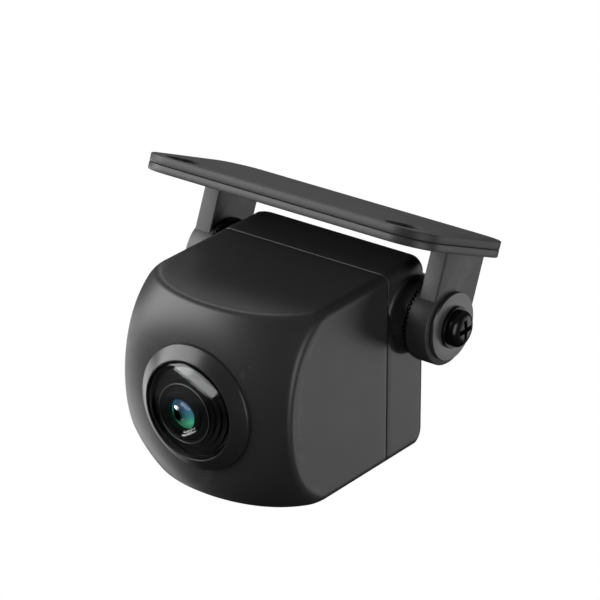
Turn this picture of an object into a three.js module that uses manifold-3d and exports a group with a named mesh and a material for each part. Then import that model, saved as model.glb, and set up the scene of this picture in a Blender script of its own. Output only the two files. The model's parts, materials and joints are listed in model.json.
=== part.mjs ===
// A wired backup camera on its tilt bracket, in millimetres, +Z up.
// The origin is the centre of the bracket's mounting face, whose outward normal is +Z.
// X runs across the camera, along the hinge, and the lens looks towards -Y and down.
import * as THREE from 'three';
import { mergeVertices } from 'three/addons/utils/BufferGeometryUtils.js';
import Module from 'manifold-3d';

// ---- Driving dimensions ----------------------------------------------------------------

// Clearances
const SEAT = 0.05;              // between two faces that rest on each other
const SLIP = 0.12;              // round a piece that slides or screws into a hole
const JOINT_GAP = 0.12;         // between the tips of the two rings of serrations

// Mounting plate and adhesive pad
const PLATE_LENGTH = 44.9;      // along X
const PLATE_DEPTH = 22.2;       // along Y
const PLATE_CORNER = 4.7;
const PLATE_THICK = 1.0;
const PAD_THICK = 1.05;
const PLATE_HOLE_SPACING = 34.5;
const PLATE_HOLE_SETBACK = 18.3; // from the plate's rear edge
const PLATE_HOLE_R = 1.6;
const PAD_HOLE_R = 2.6;
const COUNTERSINK_LAND = 0.1;   // straight part of the hole below its cone

// Hinge: an axis along X below the plate
const HEAD_CLEARANCE = 1.744;   // between the plate and the housing's rear top edge as it swings past
const HINGE_FROM_REAR = 5.72;   // in front of the plate's rear edge
const REST_TILT = 22.7;         // degrees that the lens looks down at rest

// Bracket arms
const EAR_R = 5.25;
const EAR_BORE_CLEARANCE = 0.4; // round the pivot screw's shank
const ARM_THICK = 2.6;
const ARM_STEP = 0.85;          // the ear stands this far inside the arm
const ARM_WIDTH = 8.9;
const SERRATION_COUNT = 24;
const SERRATION_HEIGHT = 0.28;
const SERRATION_INNER_R = 2.9;
const SERRATION_ROOT = 0.3;     // how far the ring goes into the piece that carries it
const SERRATION_VALLEY = 0.02;  // of the height that the valleys keep
const EAR_RECESS_R = 2.5;       // recess round the bore on the ear's joint face

// Pivot screws and washers
const FLAT_WASHER_R = 4.45;
const FLAT_WASHER_THICK = 0.6;
const LOCK_WASHER_R = 2.75;
const LOCK_WASHER_THICK = 0.5;
const LOCK_WASHER_SPLIT = 0.35;
const PIVOT_SHANK_R = 1.2;
const PIVOT_HEAD_R = 2.4;
const PIVOT_HEAD_HEIGHT = 1.35;
const PIVOT_SCREW_LENGTH = 7.8;
const PIVOT_TIP_TAPER = 0.3;
const PIVOT_RECESS_SPAN = 2.9;
const PIVOT_RECESS_SLOT = 0.7;
const PIVOT_RECESS_DEPTH = 0.95;

// Threaded inserts in the rear cover
const INSERT_R = 1.95;
const INSERT_LENGTH = 3.9;
const INSERT_RECESS = 0.35;     // below the serrated face

// Camera housing
const HEAD_WIDTH = 26.5;
const HEAD_HEIGHT = 26.6;
const HEAD_CORNER = 1.3;
const WALL = 1.7;
const CAVITY_CORNER = 1.3;
const SHOULDER_LENGTH = 3.45;   // straight sides in front of the seam, before the dome starts
const DOME_LENGTH = 19.4;
const DOME_BEYOND_CORNER = 0.726; // its radius is this much more than the housing's corners need
const DOME_POWER = 2.9;         // 2 would be a true ellipse, more is flatter in front
const COVER_DEPTH = 8.8;
const COVER_EDGE = 1.2;         // rounding of the rear edge, seen from behind
const COVER_EDGE_LENGTH = 2.0;  // and seen from the side
const SEAM = 0.12;
const HINGE_BEHIND_SEAM = 4.85;
const HINGE_ABOVE_AXIS = 6.44;
const BOSS_R = 4.85;
const BOSS_LENGTH = 2.6;        // from the housing's side to the tips of its serrations
const BOSS_ROOT = 0.55;         // the boss widens by this much where it leaves the cover
const BOSS_INSIDE = 1.1;        // its length inside the cover
const BOSS_INSIDE_WALL = 0.9;
const LIP_LENGTH = 1.3;
const LIP_THICK = 0.7;
const SEAL_THICK = 0.6;
const SEAL_WIDTH = 0.85;

// Screws through the cover and through the boards
const COVER_SCREW_MARGIN = 0.45; // between the seal and a cover screw's shank, each way
const COVER_POST_R = 2;
const COVER_HEAD_R = 1.5;
const COVER_HEAD_HEIGHT = 1.2;
const COVER_HEAD_SUNK = 0.3;    // below the cover's rear face
const SMALL_TIP_TAPER = 0.25;
const SMALL_RECESS_SLOT = 0.35;
const SMALL_SHANK_R = 0.75;
const COVER_SCREW_GRIP = 5.2;   // length in the front housing
const BOARD_SCREW_INSET = 1.25;  // from the board's edge
const BOARD_POST_R = 1.4;
const BOARD_HEAD_R = 1.45;
const BOARD_HEAD_HEIGHT = 0.9;
const BOARD_SCREW_GRIP = 4;
const HOLE_RUNOUT = 1;          // depth of a tapped hole beyond its screw

// Lens, measured forward from the seam unless it says otherwise
const LENS_FRONT = 26.3;        // the front glass's highest point
const GLASS_R = 6.4;
const GLASS_SAG = 2.5;
const GLASS_EDGE = 0.95;
const GLASS_RIM = 0.5;          // width of the flat ring that the glass rests on
const GLASS_THICK = 0.4;        // at its middle
const BEZEL_PROUD = 0.1;        // its rim stands this far in front of the glass's edge
const BEZEL_CONE = 1.3;
const BEZEL_WALL = 1.35;
const BEZEL_RIM = 0.25;
const BEZEL_CONE_WIDTH = 1.63;
const BEZEL_STEM = 0.5;         // wall of the stem that goes into the housing
const BEZEL_STEM_LENGTH = 2.1;
const HOUSING_BORE_RUNOUT = 4.1; // the bore for the stem goes on this far behind it
const BARREL_R = 6.0;
const BARREL_HEAD_LENGTH = 1.4;
const BARREL_LENGTH = 13.4;
const NOSE_STEPS = 3;           // stepped rings on the barrel's front, behind the glass
const NOSE_STEP_WIDTH = 0.6;
const NOSE_STEP_HEIGHT = 0.5;
const CELL_R = 3.6;             // bore for the inner elements
const CELL_DEPTH = 6.4;
const RearBoreR = 2.9;
const RING_R = 4.05;            // retaining ring round the coated element
const RING_OPENING_R = 2.1;
const RING_EDGE_HEIGHT = 0.35;
const RING_HEIGHT = 0.95;
const INNER_LENS_CLEAR_R = 2.0;
const INNER_LENS_EDGE = 1.3;
const INNER_LENS_SAG = 1.3;
const INNER_LENS_REAR_SAG = 0.35;
const REAR_LENS_EDGE = 1.4;
const REAR_LENS_FRONT_SAG = 0.3;
const REAR_LENS_REAR_SAG = 0.4;
const SPACER_WALL = 0.9;
const FILTER_THICK = 0.5;
const FILTER_SUNK = 0.3;        // into the barrel's rear bore
const RING_CHAMFER = 0.15;

// Boards and what they carry
const BOARD_MARGIN = 0.15;      // between a board and the cover's lip
const BOARD_NOTCH_MARGIN = 0.2; // between a board's corner notch and the screw posts
const BOARD_THICK = 1;
const SENSOR_BOARD_SETBACK = 3; // its rear face in front of the seam
const BOARD_SPACING = 4.6;
const HOLDER_WIDTH = 13.4;
const HOLDER_BASE = 1.8;
const HOLDER_TUBE_WALL = 0.85;
const HOLDER_TUBE_LENGTH = 11.4;
const HOLDER_WINDOW_R = 3.5;
const HOLDER_STOP = 0.5;        // between the barrel's end and the bottom of its bore
const SENSOR_MARGIN = 0.5;      // between the sensor and its pocket
const SENSOR_WIDTH = 7.4;
const SENSOR_HEIGHT = 6.2;
const SENSOR_THICK = 1.2;
const HOLDER_SCREW_OFFSET = 5.3;
const HOLDER_SCREW_GRIP = 1.3;
const HOLDER_HEAD_R = 1.3;
const HOLDER_HEAD_HEIGHT = 0.8;
const CHIP_WIDTH = 7;
const CHIP_THICK = 0.9;
const CHIP_ABOVE_AXIS = 3.2;
const HEADER_WIDTH = 12;
const HEADER_HEIGHT = 2;
const HEADER_INSET = 2.05;      // from the board's lower edge to the header's middle
const SOCKET_WIDTH = 4.6;
const SOCKET_HEIGHT = 5.2;
const SOCKET_THICK = 2.6;
const SOCKET_WALL = 0.6;
const SOCKET_OFFSET = 7;
const SOCKET_BELOW_AXIS = 4.5;

// Cable gland
const GLAND_BELOW_AXIS = 5.2;
const GLAND_R = 2.9;
const GLAND_FLANGE_R = 4;
const GLAND_INNER_FLANGE_R = 3.7;
const GLAND_FLANGE_THICK = 0.9;
const GLAND_COLLAR_R = 3.1;
const GLAND_COLLAR_LENGTH = 2.2;
const GLAND_COLLAR_TAPER = 0.3;
const GLAND_BORE_R = 1.6;

// Reach of a cutting shape that only has to clear the piece it cuts
const BEYOND = 40;

// ---- Materials -------------------------------------------------------------------------

const CHARCOAL = { color: 0x3a3b3d, roughness: 0.42, metalness: 0 };
const BLACK_PLASTIC = { color: 0x161617, roughness: 0.5, metalness: 0 };
const BEZEL_BLACK = { color: 0x2b2c2e, roughness: 0.3, metalness: 0 };
const FOAM = { color: 0x4b4c4e, roughness: 0.9, metalness: 0 };
const RUBBER = { color: 0x111112, roughness: 0.85, metalness: 0 };
const BLACK_STEEL = { color: 0x131416, roughness: 0.35, metalness: 1 };
const STEEL = { color: 0xa9abae, roughness: 0.35, metalness: 1 };
const BRASS = { color: 0xb08d4c, roughness: 0.35, metalness: 1 };
const GLASS = { color: 0x1a2024, roughness: 0.03, metalness: 0 };
const COATED_GLASS = { color: 0x1f6f9a, roughness: 0.03, metalness: 0 };
const BOARD_GREEN = { color: 0x1d5a35, roughness: 0.5, metalness: 0 };
const CHIP_BLACK = { color: 0x1c1c1e, roughness: 0.4, metalness: 0 };
const SOCKET_WHITE = { color: 0xd8d4c6, roughness: 0.5, metalness: 0 };

// ---- Solid helpers ---------------------------------------------------------------------

const wasm = await Module();
wasm.setup();

// A closed three.js geometry as a manifold solid.
function solid(geometry) {
  const bare = geometry.clone();
  bare.deleteAttribute('normal');
  bare.deleteAttribute('uv');
  const merged = mergeVertices(bare, 1e-4);
  const index = merged.index.array;
  const kept = [];
  for (let i = 0; i < index.length; i += 3) {
    const [a, b, c] = [index[i], index[i + 1], index[i + 2]];
    if (a !== b && b !== c && c !== a) kept.push(a, b, c);
  }
  return new wasm.Manifold(new wasm.Mesh({
    numProp: 3,
    vertProperties: new Float32Array(merged.attributes.position.array),
    triVerts: new Uint32Array(kept),
  }));
}

// A manifold solid as a three.js geometry.
function geometryOf(manifold) {
  const mesh = manifold.getMesh();
  const geometry = new THREE.BufferGeometry();
  geometry.setAttribute('position', new THREE.BufferAttribute(mesh.vertProperties, 3));
  geometry.setIndex(new THREE.BufferAttribute(mesh.triVerts, 1));
  return geometry;
}

// Joins every solid in the list, then cuts every solid of the second list away.
function shape(joined, cut = []) {
  let result = joined.map(solid).reduce((all, next) => all.add(next));
  for (const cutter of cut) result = result.subtract(solid(cutter));
  return geometryOf(result);
}

function box(width, depth, height, x, y, z) {
  return new THREE.BoxGeometry(width, depth, height).translate(x, y, z);
}

// Turns the profile [[radius, along], ...] round Y. It runs up the outside and closes itself.
function turned(profile, segments = 32, closes = true) {
  const points = profile.map(([radius, along]) => new THREE.Vector2(radius, along));
  if (closes) points.push(points[0].clone());
  return new THREE.LatheGeometry(points, segments);
}

// A plain cylinder along Y between two places, centred at x, z.
function rodY(radius, from, to, x = 0, z = 0, segments = 20) {
  const length = to - from;
  return new THREE.CylinderGeometry(radius, radius, length, segments)
    .translate(x, (from + to) / 2, z);
}

// A ring along Y between two places.
function ringY(outer, inner, from, to, segments = 32) {
  return turned([[inner, from], [outer, from], [outer, to], [inner, to]], segments);
}

// Lays a geometry made round Y along X: what was up Y then points to `side`.
function alongX(geometry, side) {
  return geometry.clone().rotateZ(-side * Math.PI / 2);
}

function roundedRectangle(width, height, radius) {
  const [right, top] = [width / 2 - radius, height / 2 - radius];
  const outline = new THREE.Shape();
  outline.absarc(right, top, radius, 0, Math.PI / 2);
  outline.absarc(-right, top, radius, Math.PI / 2, Math.PI);
  outline.absarc(-right, -top, radius, Math.PI, Math.PI * 1.5);
  outline.absarc(right, -top, radius, Math.PI * 1.5, Math.PI * 2);
  return outline;
}

// Extrudes an outline of X and Z from one place along Y to another.
function extrudedY(outline, from, to, curveSegments = 5) {
  return new THREE.ExtrudeGeometry(outline, { depth: to - from, bevelEnabled: false, curveSegments })
    .rotateX(Math.PI / 2).translate(0, to, 0);
}

// Extrudes an outline of X and Y upwards.
function extrudedZ(outline, from, to, curveSegments = 8) {
  return new THREE.ExtrudeGeometry(outline, { depth: to - from, bevelEnabled: false, curveSegments })
    .translate(0, 0, from);
}

function add(parent, name, geometry, look) {
  const mesh = new THREE.Mesh(geometry, new THREE.MeshStandardMaterial(look));
  mesh.name = name;
  parent.add(mesh);
  return mesh;
}

const SIDES = [['left', -1], ['right', 1]];

// ---- Frames ----------------------------------------------------------------------------

const camera = new THREE.Group();
const hinge = new THREE.Group();      // its origin is on the hinge axis
const hingeY = PLATE_DEPTH / 2 - HINGE_FROM_REAR;
const headSweep = Math.hypot(COVER_DEPTH - HINGE_BEHIND_SEAM, HEAD_HEIGHT / 2 - HINGE_ABOVE_AXIS);
const hingeDrop = PAD_THICK + SEAT + PLATE_THICK + headSweep + HEAD_CLEARANCE;
hinge.position.set(0, hingeY, -hingeDrop);
hinge.rotation.x = THREE.MathUtils.degToRad(REST_TILT);
camera.add(hinge);

const head = new THREE.Group();       // its origin is on the lens axis, at the housing's seam
head.position.set(0, -HINGE_BEHIND_SEAM, -HINGE_ABOVE_AXIS);
hinge.add(head);

// ---- Bracket ---------------------------------------------------------------------------

const plateTop = -PAD_THICK - SEAT;
const plateBottom = plateTop - PLATE_THICK;
const plateHoleY = PLATE_DEPTH / 2 - PLATE_HOLE_SETBACK;
const jointFace = HEAD_WIDTH / 2 + BOSS_LENGTH;
const earInner = jointFace + JOINT_GAP + SERRATION_HEIGHT;
const armInner = jointFace + ARM_STEP;
const armOuter = armInner + ARM_THICK;
const earBoreR = PIVOT_SHANK_R + EAR_BORE_CLEARANCE;

// A ring of radial teeth round Y. The teeth point up from `base`.
function serrationRing(outerRadius, base) {
  const steps = SERRATION_COUNT * 2;
  const corners = [];
  for (let i = 0; i < steps; i += 1) {
    const angle = (i / steps) * Math.PI * 2;
    const top = base + (i % 2 ? SERRATION_HEIGHT : SERRATION_VALLEY);
    for (const radius of [SERRATION_INNER_R, outerRadius]) {
      const [x, z] = [radius * Math.sin(angle), radius * Math.cos(angle)];
      corners.push([x, base - SERRATION_ROOT, z], [x, top, z]);
    }
  }
  const index = [];
  for (let i = 0; i < steps; i += 1) {
    const [a, b] = [i * 4, ((i + 1) % steps) * 4];
    const quads = [
      [a + 1, a + 3, b + 3, b + 1],     // toothed face
      [a, b, b + 2, a + 2],             // flat face
      [a + 2, b + 2, b + 3, a + 3],     // outer wall
      [a, a + 1, b + 1, b],             // inner wall
    ];
    for (const [p, q, r, s] of quads) index.push(p, q, r, p, r, s);
  }
  const geometry = new THREE.BufferGeometry();
  geometry.setAttribute('position', new THREE.Float32BufferAttribute(corners.flat(), 3));
  geometry.setIndex(index);
  return geometry;
}

function atHinge(geometry) {
  return geometry.clone().translate(0, hingeY, -hingeDrop);
}

function bracket() {
  const plate = extrudedZ(roundedRectangle(PLATE_LENGTH, PLATE_DEPTH, PLATE_CORNER), plateBottom, plateTop);
  const armHeight = hingeDrop + plateBottom + PLATE_THICK / 2;
  const joined = [plate];
  const cut = [];
  for (const [, side] of SIDES) {
    const armMiddle = side * (armInner + armOuter) / 2;
    joined.push(box(ARM_THICK, ARM_WIDTH, armHeight, armMiddle, hingeY, -hingeDrop + armHeight / 2));
    const ear = ringY(EAR_R, EAR_RECESS_R, earInner, armOuter, 32);
    const earDisc = ringY(EAR_R, earBoreR, armInner, armOuter, 32);
    const teeth = serrationRing(EAR_R, -earInner);
    joined.push(atHinge(alongX(ear, side)), atHinge(alongX(earDisc, side)));
    joined.push(atHinge(alongX(teeth, -side)));
    cut.push(atHinge(alongX(rodY(earBoreR, earInner - 1, armOuter + 1), side)));
    const countersink = turned([[0, plateBottom - SEAT], [PLATE_HOLE_R, plateBottom - SEAT],
      [PLATE_HOLE_R, plateBottom + COUNTERSINK_LAND], [PAD_HOLE_R, plateTop], [0, plateTop]], 24);
    cut.push(countersink.rotateX(Math.PI / 2)
      .translate(side * PLATE_HOLE_SPACING / 2, plateHoleY, 0));
  }
  return shape(joined, cut);
}

function adhesivePad() {
  const outline = roundedRectangle(PLATE_LENGTH, PLATE_DEPTH, PLATE_CORNER);
  for (const [, side] of SIDES) {
    const hole = new THREE.Path();
    hole.absarc(side * PLATE_HOLE_SPACING / 2, plateHoleY, PAD_HOLE_R, 0, Math.PI * 2, true);
    outline.holes.push(hole);
  }
  return extrudedZ(outline, -PAD_THICK, 0, 10);
}

add(camera, 'bracket', bracket(), CHARCOAL);
add(camera, 'adhesive_pad', adhesivePad(), FOAM);

// ---- Pivot screws and washers ----------------------------------------------------------

const flatWasherBase = armOuter + SEAT;
const lockWasherBase = flatWasherBase + FLAT_WASHER_THICK + SEAT;
const pivotHeadBase = lockWasherBase + LOCK_WASHER_THICK + SEAT;

// A cross recess sunk into a screw head whose top is at `top`, along Y.
function crossRecess(span, slot, depth, top) {
  const height = depth * 2;
  return [box(span, height, slot, 0, top, 0), box(slot, height, span, 0, top, 0)];
}

function pivotScrew() {
  const top = pivotHeadBase + PIVOT_HEAD_HEIGHT;
  const tip = pivotHeadBase - PIVOT_SCREW_LENGTH;
  const profile = [
    [0, tip], [PIVOT_SHANK_R - PIVOT_TIP_TAPER, tip], [PIVOT_SHANK_R, tip + PIVOT_TIP_TAPER],
    [PIVOT_SHANK_R, pivotHeadBase],
    [PIVOT_HEAD_R, pivotHeadBase], [PIVOT_HEAD_R, top - PIVOT_HEAD_HEIGHT * 0.52],
    [PIVOT_HEAD_R * 0.85, top - PIVOT_HEAD_HEIGHT * 0.22], [PIVOT_HEAD_R * 0.5, top - PIVOT_HEAD_HEIGHT * 0.05],
    [0, top],
  ];
  return shape([turned(profile, 20)],
    crossRecess(PIVOT_RECESS_SPAN, PIVOT_RECESS_SLOT, PIVOT_RECESS_DEPTH, top));
}

function lockWasher() {
  const ring = ringY(LOCK_WASHER_R, PIVOT_SHANK_R + SLIP * 2, lockWasherBase,
    lockWasherBase + LOCK_WASHER_THICK, 24);
  const split = box(LOCK_WASHER_R * 2, LOCK_WASHER_THICK * 2, LOCK_WASHER_SPLIT,
    LOCK_WASHER_R, lockWasherBase + LOCK_WASHER_THICK / 2, 0);
  return shape([ring], [split]);
}

for (const [name, side] of SIDES) {
  const place = (geometry) => atHinge(alongX(geometry, side));
  add(camera, `flat_washer_${name}`, place(ringY(FLAT_WASHER_R, PIVOT_SHANK_R + SLIP * 2,
    flatWasherBase, flatWasherBase + FLAT_WASHER_THICK, 32)), STEEL);
  add(camera, `lock_washer_${name}`, place(lockWasher()), BLACK_STEEL);
  add(camera, `pivot_screw_${name}`, place(pivotScrew()), BLACK_STEEL);
}

// ---- Housing ---------------------------------------------------------------------------

const seamFront = -SEAM / 2;
const seamRear = SEAM / 2;
const cavityWidth = HEAD_WIDTH - 2 * WALL;
const cavityHeight = HEAD_HEIGHT - 2 * WALL;
const bezelTop = -(LENS_FRONT - GLASS_SAG) - BEZEL_PROUD;
const bezelBase = bezelTop + BEZEL_CONE + BEZEL_WALL;   // where the bezel rests in the housing
const bezelR = GLASS_R + SLIP + BEZEL_RIM + BEZEL_CONE_WIDTH;
const stemOuterR = GLASS_R + SLIP + BEZEL_STEM;
const domeRadius = Math.hypot(HEAD_WIDTH, HEAD_HEIGHT) / 2 + DOME_BEYOND_CORNER;
const coverScrewInset = WALL + SEAL_THICK + SMALL_SHANK_R + COVER_SCREW_MARGIN;
const coverScrewX = HEAD_WIDTH / 2 - coverScrewInset;
const coverScrewZ = HEAD_HEIGHT / 2 - coverScrewInset;
const coverHeadSeat = COVER_DEPTH - COVER_HEAD_HEIGHT - COVER_HEAD_SUNK;
const postTop = -LIP_LENGTH - SEAT;
const sensorBoardRear = -SENSOR_BOARD_SETBACK;
const sensorBoardFront = sensorBoardRear - BOARD_THICK;
const boardInset = SEAL_THICK + LIP_THICK + BOARD_MARGIN;
const boardHalfX = cavityWidth / 2 - boardInset;
const boardHalfZ = cavityHeight / 2 - boardInset;
const boardScrewX = boardHalfX - BOARD_SCREW_INSET;

const CORNERS = [
  ['upper_left', -1, 1], ['upper_right', 1, 1], ['lower_left', -1, -1], ['lower_right', 1, -1],
];

// The dome: a superellipse turned round the lens axis, inset by a wall, with a straight tail.
function dome(inset, rings, segments) {
  const length = DOME_LENGTH - inset;
  const radius = domeRadius - inset;
  const profile = [];
  for (let i = 0; i <= rings; i += 1) {
    const angle = (i / rings) * Math.PI / 2;
    const out = radius * Math.sin(angle) ** (2 / DOME_POWER);
    const along = -SHOULDER_LENGTH - length * Math.cos(angle) ** (2 / DOME_POWER);
    profile.push([i ? out : 0, along]);
  }
  profile.push([radius, BEYOND], [0, BEYOND]);
  return turned(profile, segments, false);
}

function frontHousing() {
  const block = extrudedY(roundedRectangle(HEAD_WIDTH, HEAD_HEIGHT, HEAD_CORNER), -BEYOND, seamFront);
  const core = extrudedY(roundedRectangle(cavityWidth, cavityHeight, CAVITY_CORNER), -BEYOND, BEYOND, 4);
  const outer = solid(block).intersect(solid(dome(0, 12, 48)));
  const cavity = solid(core).intersect(solid(dome(WALL, 7, 24)));
  const inside = solid(dome(WALL / 2, 7, 24));
  const coverPosts = CORNERS.map(([, sx, sz]) => (
    rodY(COVER_POST_R, -BEYOND, postTop, sx * coverScrewX, sz * coverScrewZ, 12)));
  const boardPosts = SIDES.map(([, side]) => (
    rodY(BOARD_POST_R, -BEYOND, sensorBoardFront - SEAT, side * boardScrewX, 0, 12)));
  const posts = [...coverPosts, ...boardPosts].map(solid).reduce((all, next) => all.add(next));
  let result = outer.subtract(cavity).add(posts.intersect(inside).intersect(outer));
  const cuts = CORNERS.map(([, sx, sz]) => rodY(SMALL_SHANK_R + SLIP,
    postTop - COVER_SCREW_GRIP - HOLE_RUNOUT, seamRear, sx * coverScrewX, sz * coverScrewZ, 12));
  for (const [, side] of SIDES) {
    cuts.push(rodY(SMALL_SHANK_R + SLIP, sensorBoardFront - BOARD_SCREW_GRIP - HOLE_RUNOUT, seamRear,
      side * boardScrewX, 0, 12));
  }
  cuts.push(rodY(bezelR + SLIP, -BEYOND, bezelBase + SEAT, 0, 0, 48));
  cuts.push(rodY(stemOuterR + SLIP, -BEYOND, bezelBase + BEZEL_STEM_LENGTH + HOUSING_BORE_RUNOUT, 0, 0, 40));
  for (const cutter of cuts) result = result.subtract(solid(cutter));
  return geometryOf(result);
}

// The round boss that carries one half of the hinge joint, turned round the hinge axis.
function hingeBoss() {
  const wallFace = HEAD_WIDTH / 2;
  const face = jointFace - SERRATION_HEIGHT;
  const innerEnd = wallFace - WALL - BOSS_INSIDE;
  const innerR = INSERT_R + BOSS_INSIDE_WALL;
  const profile = [
    [0, innerEnd], [innerR, innerEnd], [innerR, wallFace - WALL / 2],
    [BOSS_R + BOSS_ROOT, wallFace - WALL / 2], [BOSS_R + BOSS_ROOT, wallFace],
    [BOSS_R + BOSS_ROOT * 0.5, wallFace + BOSS_ROOT * 0.17],
    [BOSS_R + BOSS_ROOT * 0.15, wallFace + BOSS_ROOT * 0.52],
    [BOSS_R, wallFace + BOSS_ROOT], [BOSS_R, face], [0, face],
  ];
  return turned(profile, 32);
}

function rearCover() {
  const outline = roundedRectangle(HEAD_WIDTH - 2 * COVER_EDGE, HEAD_HEIGHT - 2 * COVER_EDGE,
    HEAD_CORNER - COVER_EDGE);
  const block = new THREE.ExtrudeGeometry(outline, {
    depth: COVER_DEPTH, bevelEnabled: true, bevelThickness: COVER_EDGE_LENGTH, bevelSize: COVER_EDGE,
    bevelSegments: 4, curveSegments: 4,
  }).rotateX(Math.PI / 2).translate(0, COVER_DEPTH - COVER_EDGE_LENGTH, 0);
  const front = box(BEYOND, BEYOND, BEYOND, 0, seamRear - BEYOND / 2, 0);
  const lipOutline = roundedRectangle(cavityWidth - 2 * (SEAL_THICK + SEAT * 2),
    cavityHeight - 2 * (SEAL_THICK + SEAT * 2), CAVITY_CORNER);
  const lipOuter = solid(extrudedY(lipOutline, -LIP_LENGTH, COVER_DEPTH - WALL / 2, 4));
  const inner = extrudedY(roundedRectangle(cavityWidth - 2 * (SEAL_THICK + LIP_THICK),
    cavityHeight - 2 * (SEAL_THICK + LIP_THICK), CAVITY_CORNER), -BEYOND, COVER_DEPTH - WALL, 4);
  let result = solid(block).subtract(solid(front)).add(lipOuter).subtract(solid(inner));
  for (const [, sx, sz] of CORNERS) {
    result = result.add(lipOuter.intersect(solid(rodY(COVER_POST_R, -LIP_LENGTH, COVER_DEPTH,
      sx * coverScrewX, sz * coverScrewZ, 12))));
  }
  for (const [, side] of SIDES) {
    const boss = solid(alongX(hingeBoss(), side).translate(0, HINGE_BEHIND_SEAM, HINGE_ABOVE_AXIS));
    const teeth = serrationRing(BOSS_R, jointFace - SERRATION_HEIGHT);
    result = result.add(boss.subtract(solid(front)));
    result = result.add(solid(alongX(teeth, side).translate(0, HINGE_BEHIND_SEAM, HINGE_ABOVE_AXIS)));
  }
  const cuts = [rodY(GLAND_R + SLIP, 0, BEYOND, 0, -GLAND_BELOW_AXIS, 28)];
  for (const [, sx, sz] of CORNERS) {
    const [x, z] = [sx * coverScrewX, sz * coverScrewZ];
    cuts.push(rodY(SMALL_SHANK_R + SLIP, -BEYOND, BEYOND, x, z, 12));
    cuts.push(rodY(COVER_HEAD_R + SLIP, coverHeadSeat, BEYOND, x, z, 16));
  }
  for (const [, side] of SIDES) {
    const bore = rodY(INSERT_R + SEAT, jointFace - INSERT_RECESS - INSERT_LENGTH - SEAT, BEYOND, 0, 0, 24);
    cuts.push(alongX(bore, side).translate(0, HINGE_BEHIND_SEAM, HINGE_ABOVE_AXIS));
  }
  for (const cutter of cuts) result = result.subtract(solid(cutter));
  return geometryOf(result);
}

function housingSeal() {
  const outer = extrudedY(roundedRectangle(cavityWidth - 2 * SEAT, cavityHeight - 2 * SEAT,
    CAVITY_CORNER), -LIP_LENGTH, -LIP_LENGTH + SEAL_WIDTH, 4);
  const inner = extrudedY(roundedRectangle(cavityWidth - 2 * SEAL_THICK - SEAT * 2,
    cavityHeight - 2 * SEAL_THICK - SEAT * 2, CAVITY_CORNER), -BEYOND, BEYOND, 4);
  return shape([outer], [inner]);
}

function threadedInsert(side) {
  const outerEnd = jointFace - INSERT_RECESS;
  const ring = ringY(INSERT_R, PIVOT_SHANK_R + SLIP, outerEnd - INSERT_LENGTH, outerEnd, 20);
  return alongX(ring, side).translate(0, HINGE_BEHIND_SEAM, HINGE_ABOVE_AXIS);
}

function panScrew(tip, base, shankR, headR, headHeight) {
  const profile = [[0, tip], [shankR - SMALL_TIP_TAPER, tip], [shankR, tip + SMALL_TIP_TAPER], [shankR, base],
    [headR, base], [headR, base + headHeight * 0.6], [headR * 0.75, base + headHeight], [0, base + headHeight]];
  return shape([turned(profile, 12)], crossRecess(headR * 1.2, SMALL_RECESS_SLOT, headHeight * 0.55,
    base + headHeight));
}

add(head, 'front_housing', frontHousing(), CHARCOAL);
add(head, 'rear_cover', rearCover(), CHARCOAL);
add(head, 'housing_seal', housingSeal(), RUBBER);
for (const [name, side] of SIDES) {
  add(head, `threaded_insert_${name}`, threadedInsert(side), BRASS);
}
for (const [name, sx, sz] of CORNERS) {
  const screw = panScrew(postTop - COVER_SCREW_GRIP, coverHeadSeat + SEAT, SMALL_SHANK_R, COVER_HEAD_R,
    COVER_HEAD_HEIGHT);
  add(head, `cover_screw_${name}`, screw.translate(sx * coverScrewX, 0, sz * coverScrewZ), BLACK_STEEL);
}

function cableGland() {
  const insideFace = COVER_DEPTH - WALL - SEAT;
  const outsideFace = COVER_DEPTH + SEAT;
  const profile = [
    [GLAND_BORE_R, insideFace - GLAND_FLANGE_THICK], [GLAND_INNER_FLANGE_R, insideFace - GLAND_FLANGE_THICK],
    [GLAND_INNER_FLANGE_R, insideFace], [GLAND_R, insideFace], [GLAND_R, outsideFace],
    [GLAND_FLANGE_R, outsideFace], [GLAND_FLANGE_R, outsideFace + GLAND_FLANGE_THICK],
    [GLAND_COLLAR_R, outsideFace + GLAND_FLANGE_THICK * 1.2],
    [GLAND_COLLAR_R - GLAND_COLLAR_TAPER, outsideFace + GLAND_COLLAR_LENGTH],
    [GLAND_BORE_R, outsideFace + GLAND_COLLAR_LENGTH],
  ];
  return turned(profile, 20).translate(0, 0, -GLAND_BELOW_AXIS);
}

add(head, 'cable_gland', cableGland(), RUBBER);

// ---- Lens ------------------------------------------------------------------------------

const glassEdgeFront = -(LENS_FRONT - GLASS_SAG);
const glassEdgeRear = glassEdgeFront + GLASS_EDGE;
const barrelFront = glassEdgeRear + SEAT;
const barrelRear = barrelFront + BARREL_LENGTH;
const noseFront = barrelFront - NOSE_STEPS * NOSE_STEP_HEIGHT;
const cellFloor = noseFront + CELL_DEPTH;

// Points on an arc of height `sag` over a half-width, from the rim to the axis or back.
function crown(halfWidth, rim, sag, steps, towardsAxis) {
  const radius = (halfWidth ** 2 + sag ** 2) / (2 * Math.abs(sag));
  const points = [];
  for (let i = 0; i <= steps; i += 1) {
    const out = halfWidth * (towardsAxis ? 1 - i / steps : i / steps);
    const drop = Math.sign(sag) * (Math.sqrt(radius ** 2 - out ** 2) - (radius - Math.abs(sag)));
    points.push([out, rim + drop]);
  }
  return points;
}

// A lens round Y with a flat rim. `front` and `rear` are the heights of its faces towards +Y.
function lens(radius, clearR, edgeFront, edgeRear, front, rear) {
  const profile = crown(clearR, edgeFront, front, 5, false)
    .concat([[radius, edgeFront], [radius, edgeRear]], crown(clearR, edgeRear, rear, 4, true));
  return turned(profile, 20, false);
}

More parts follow.
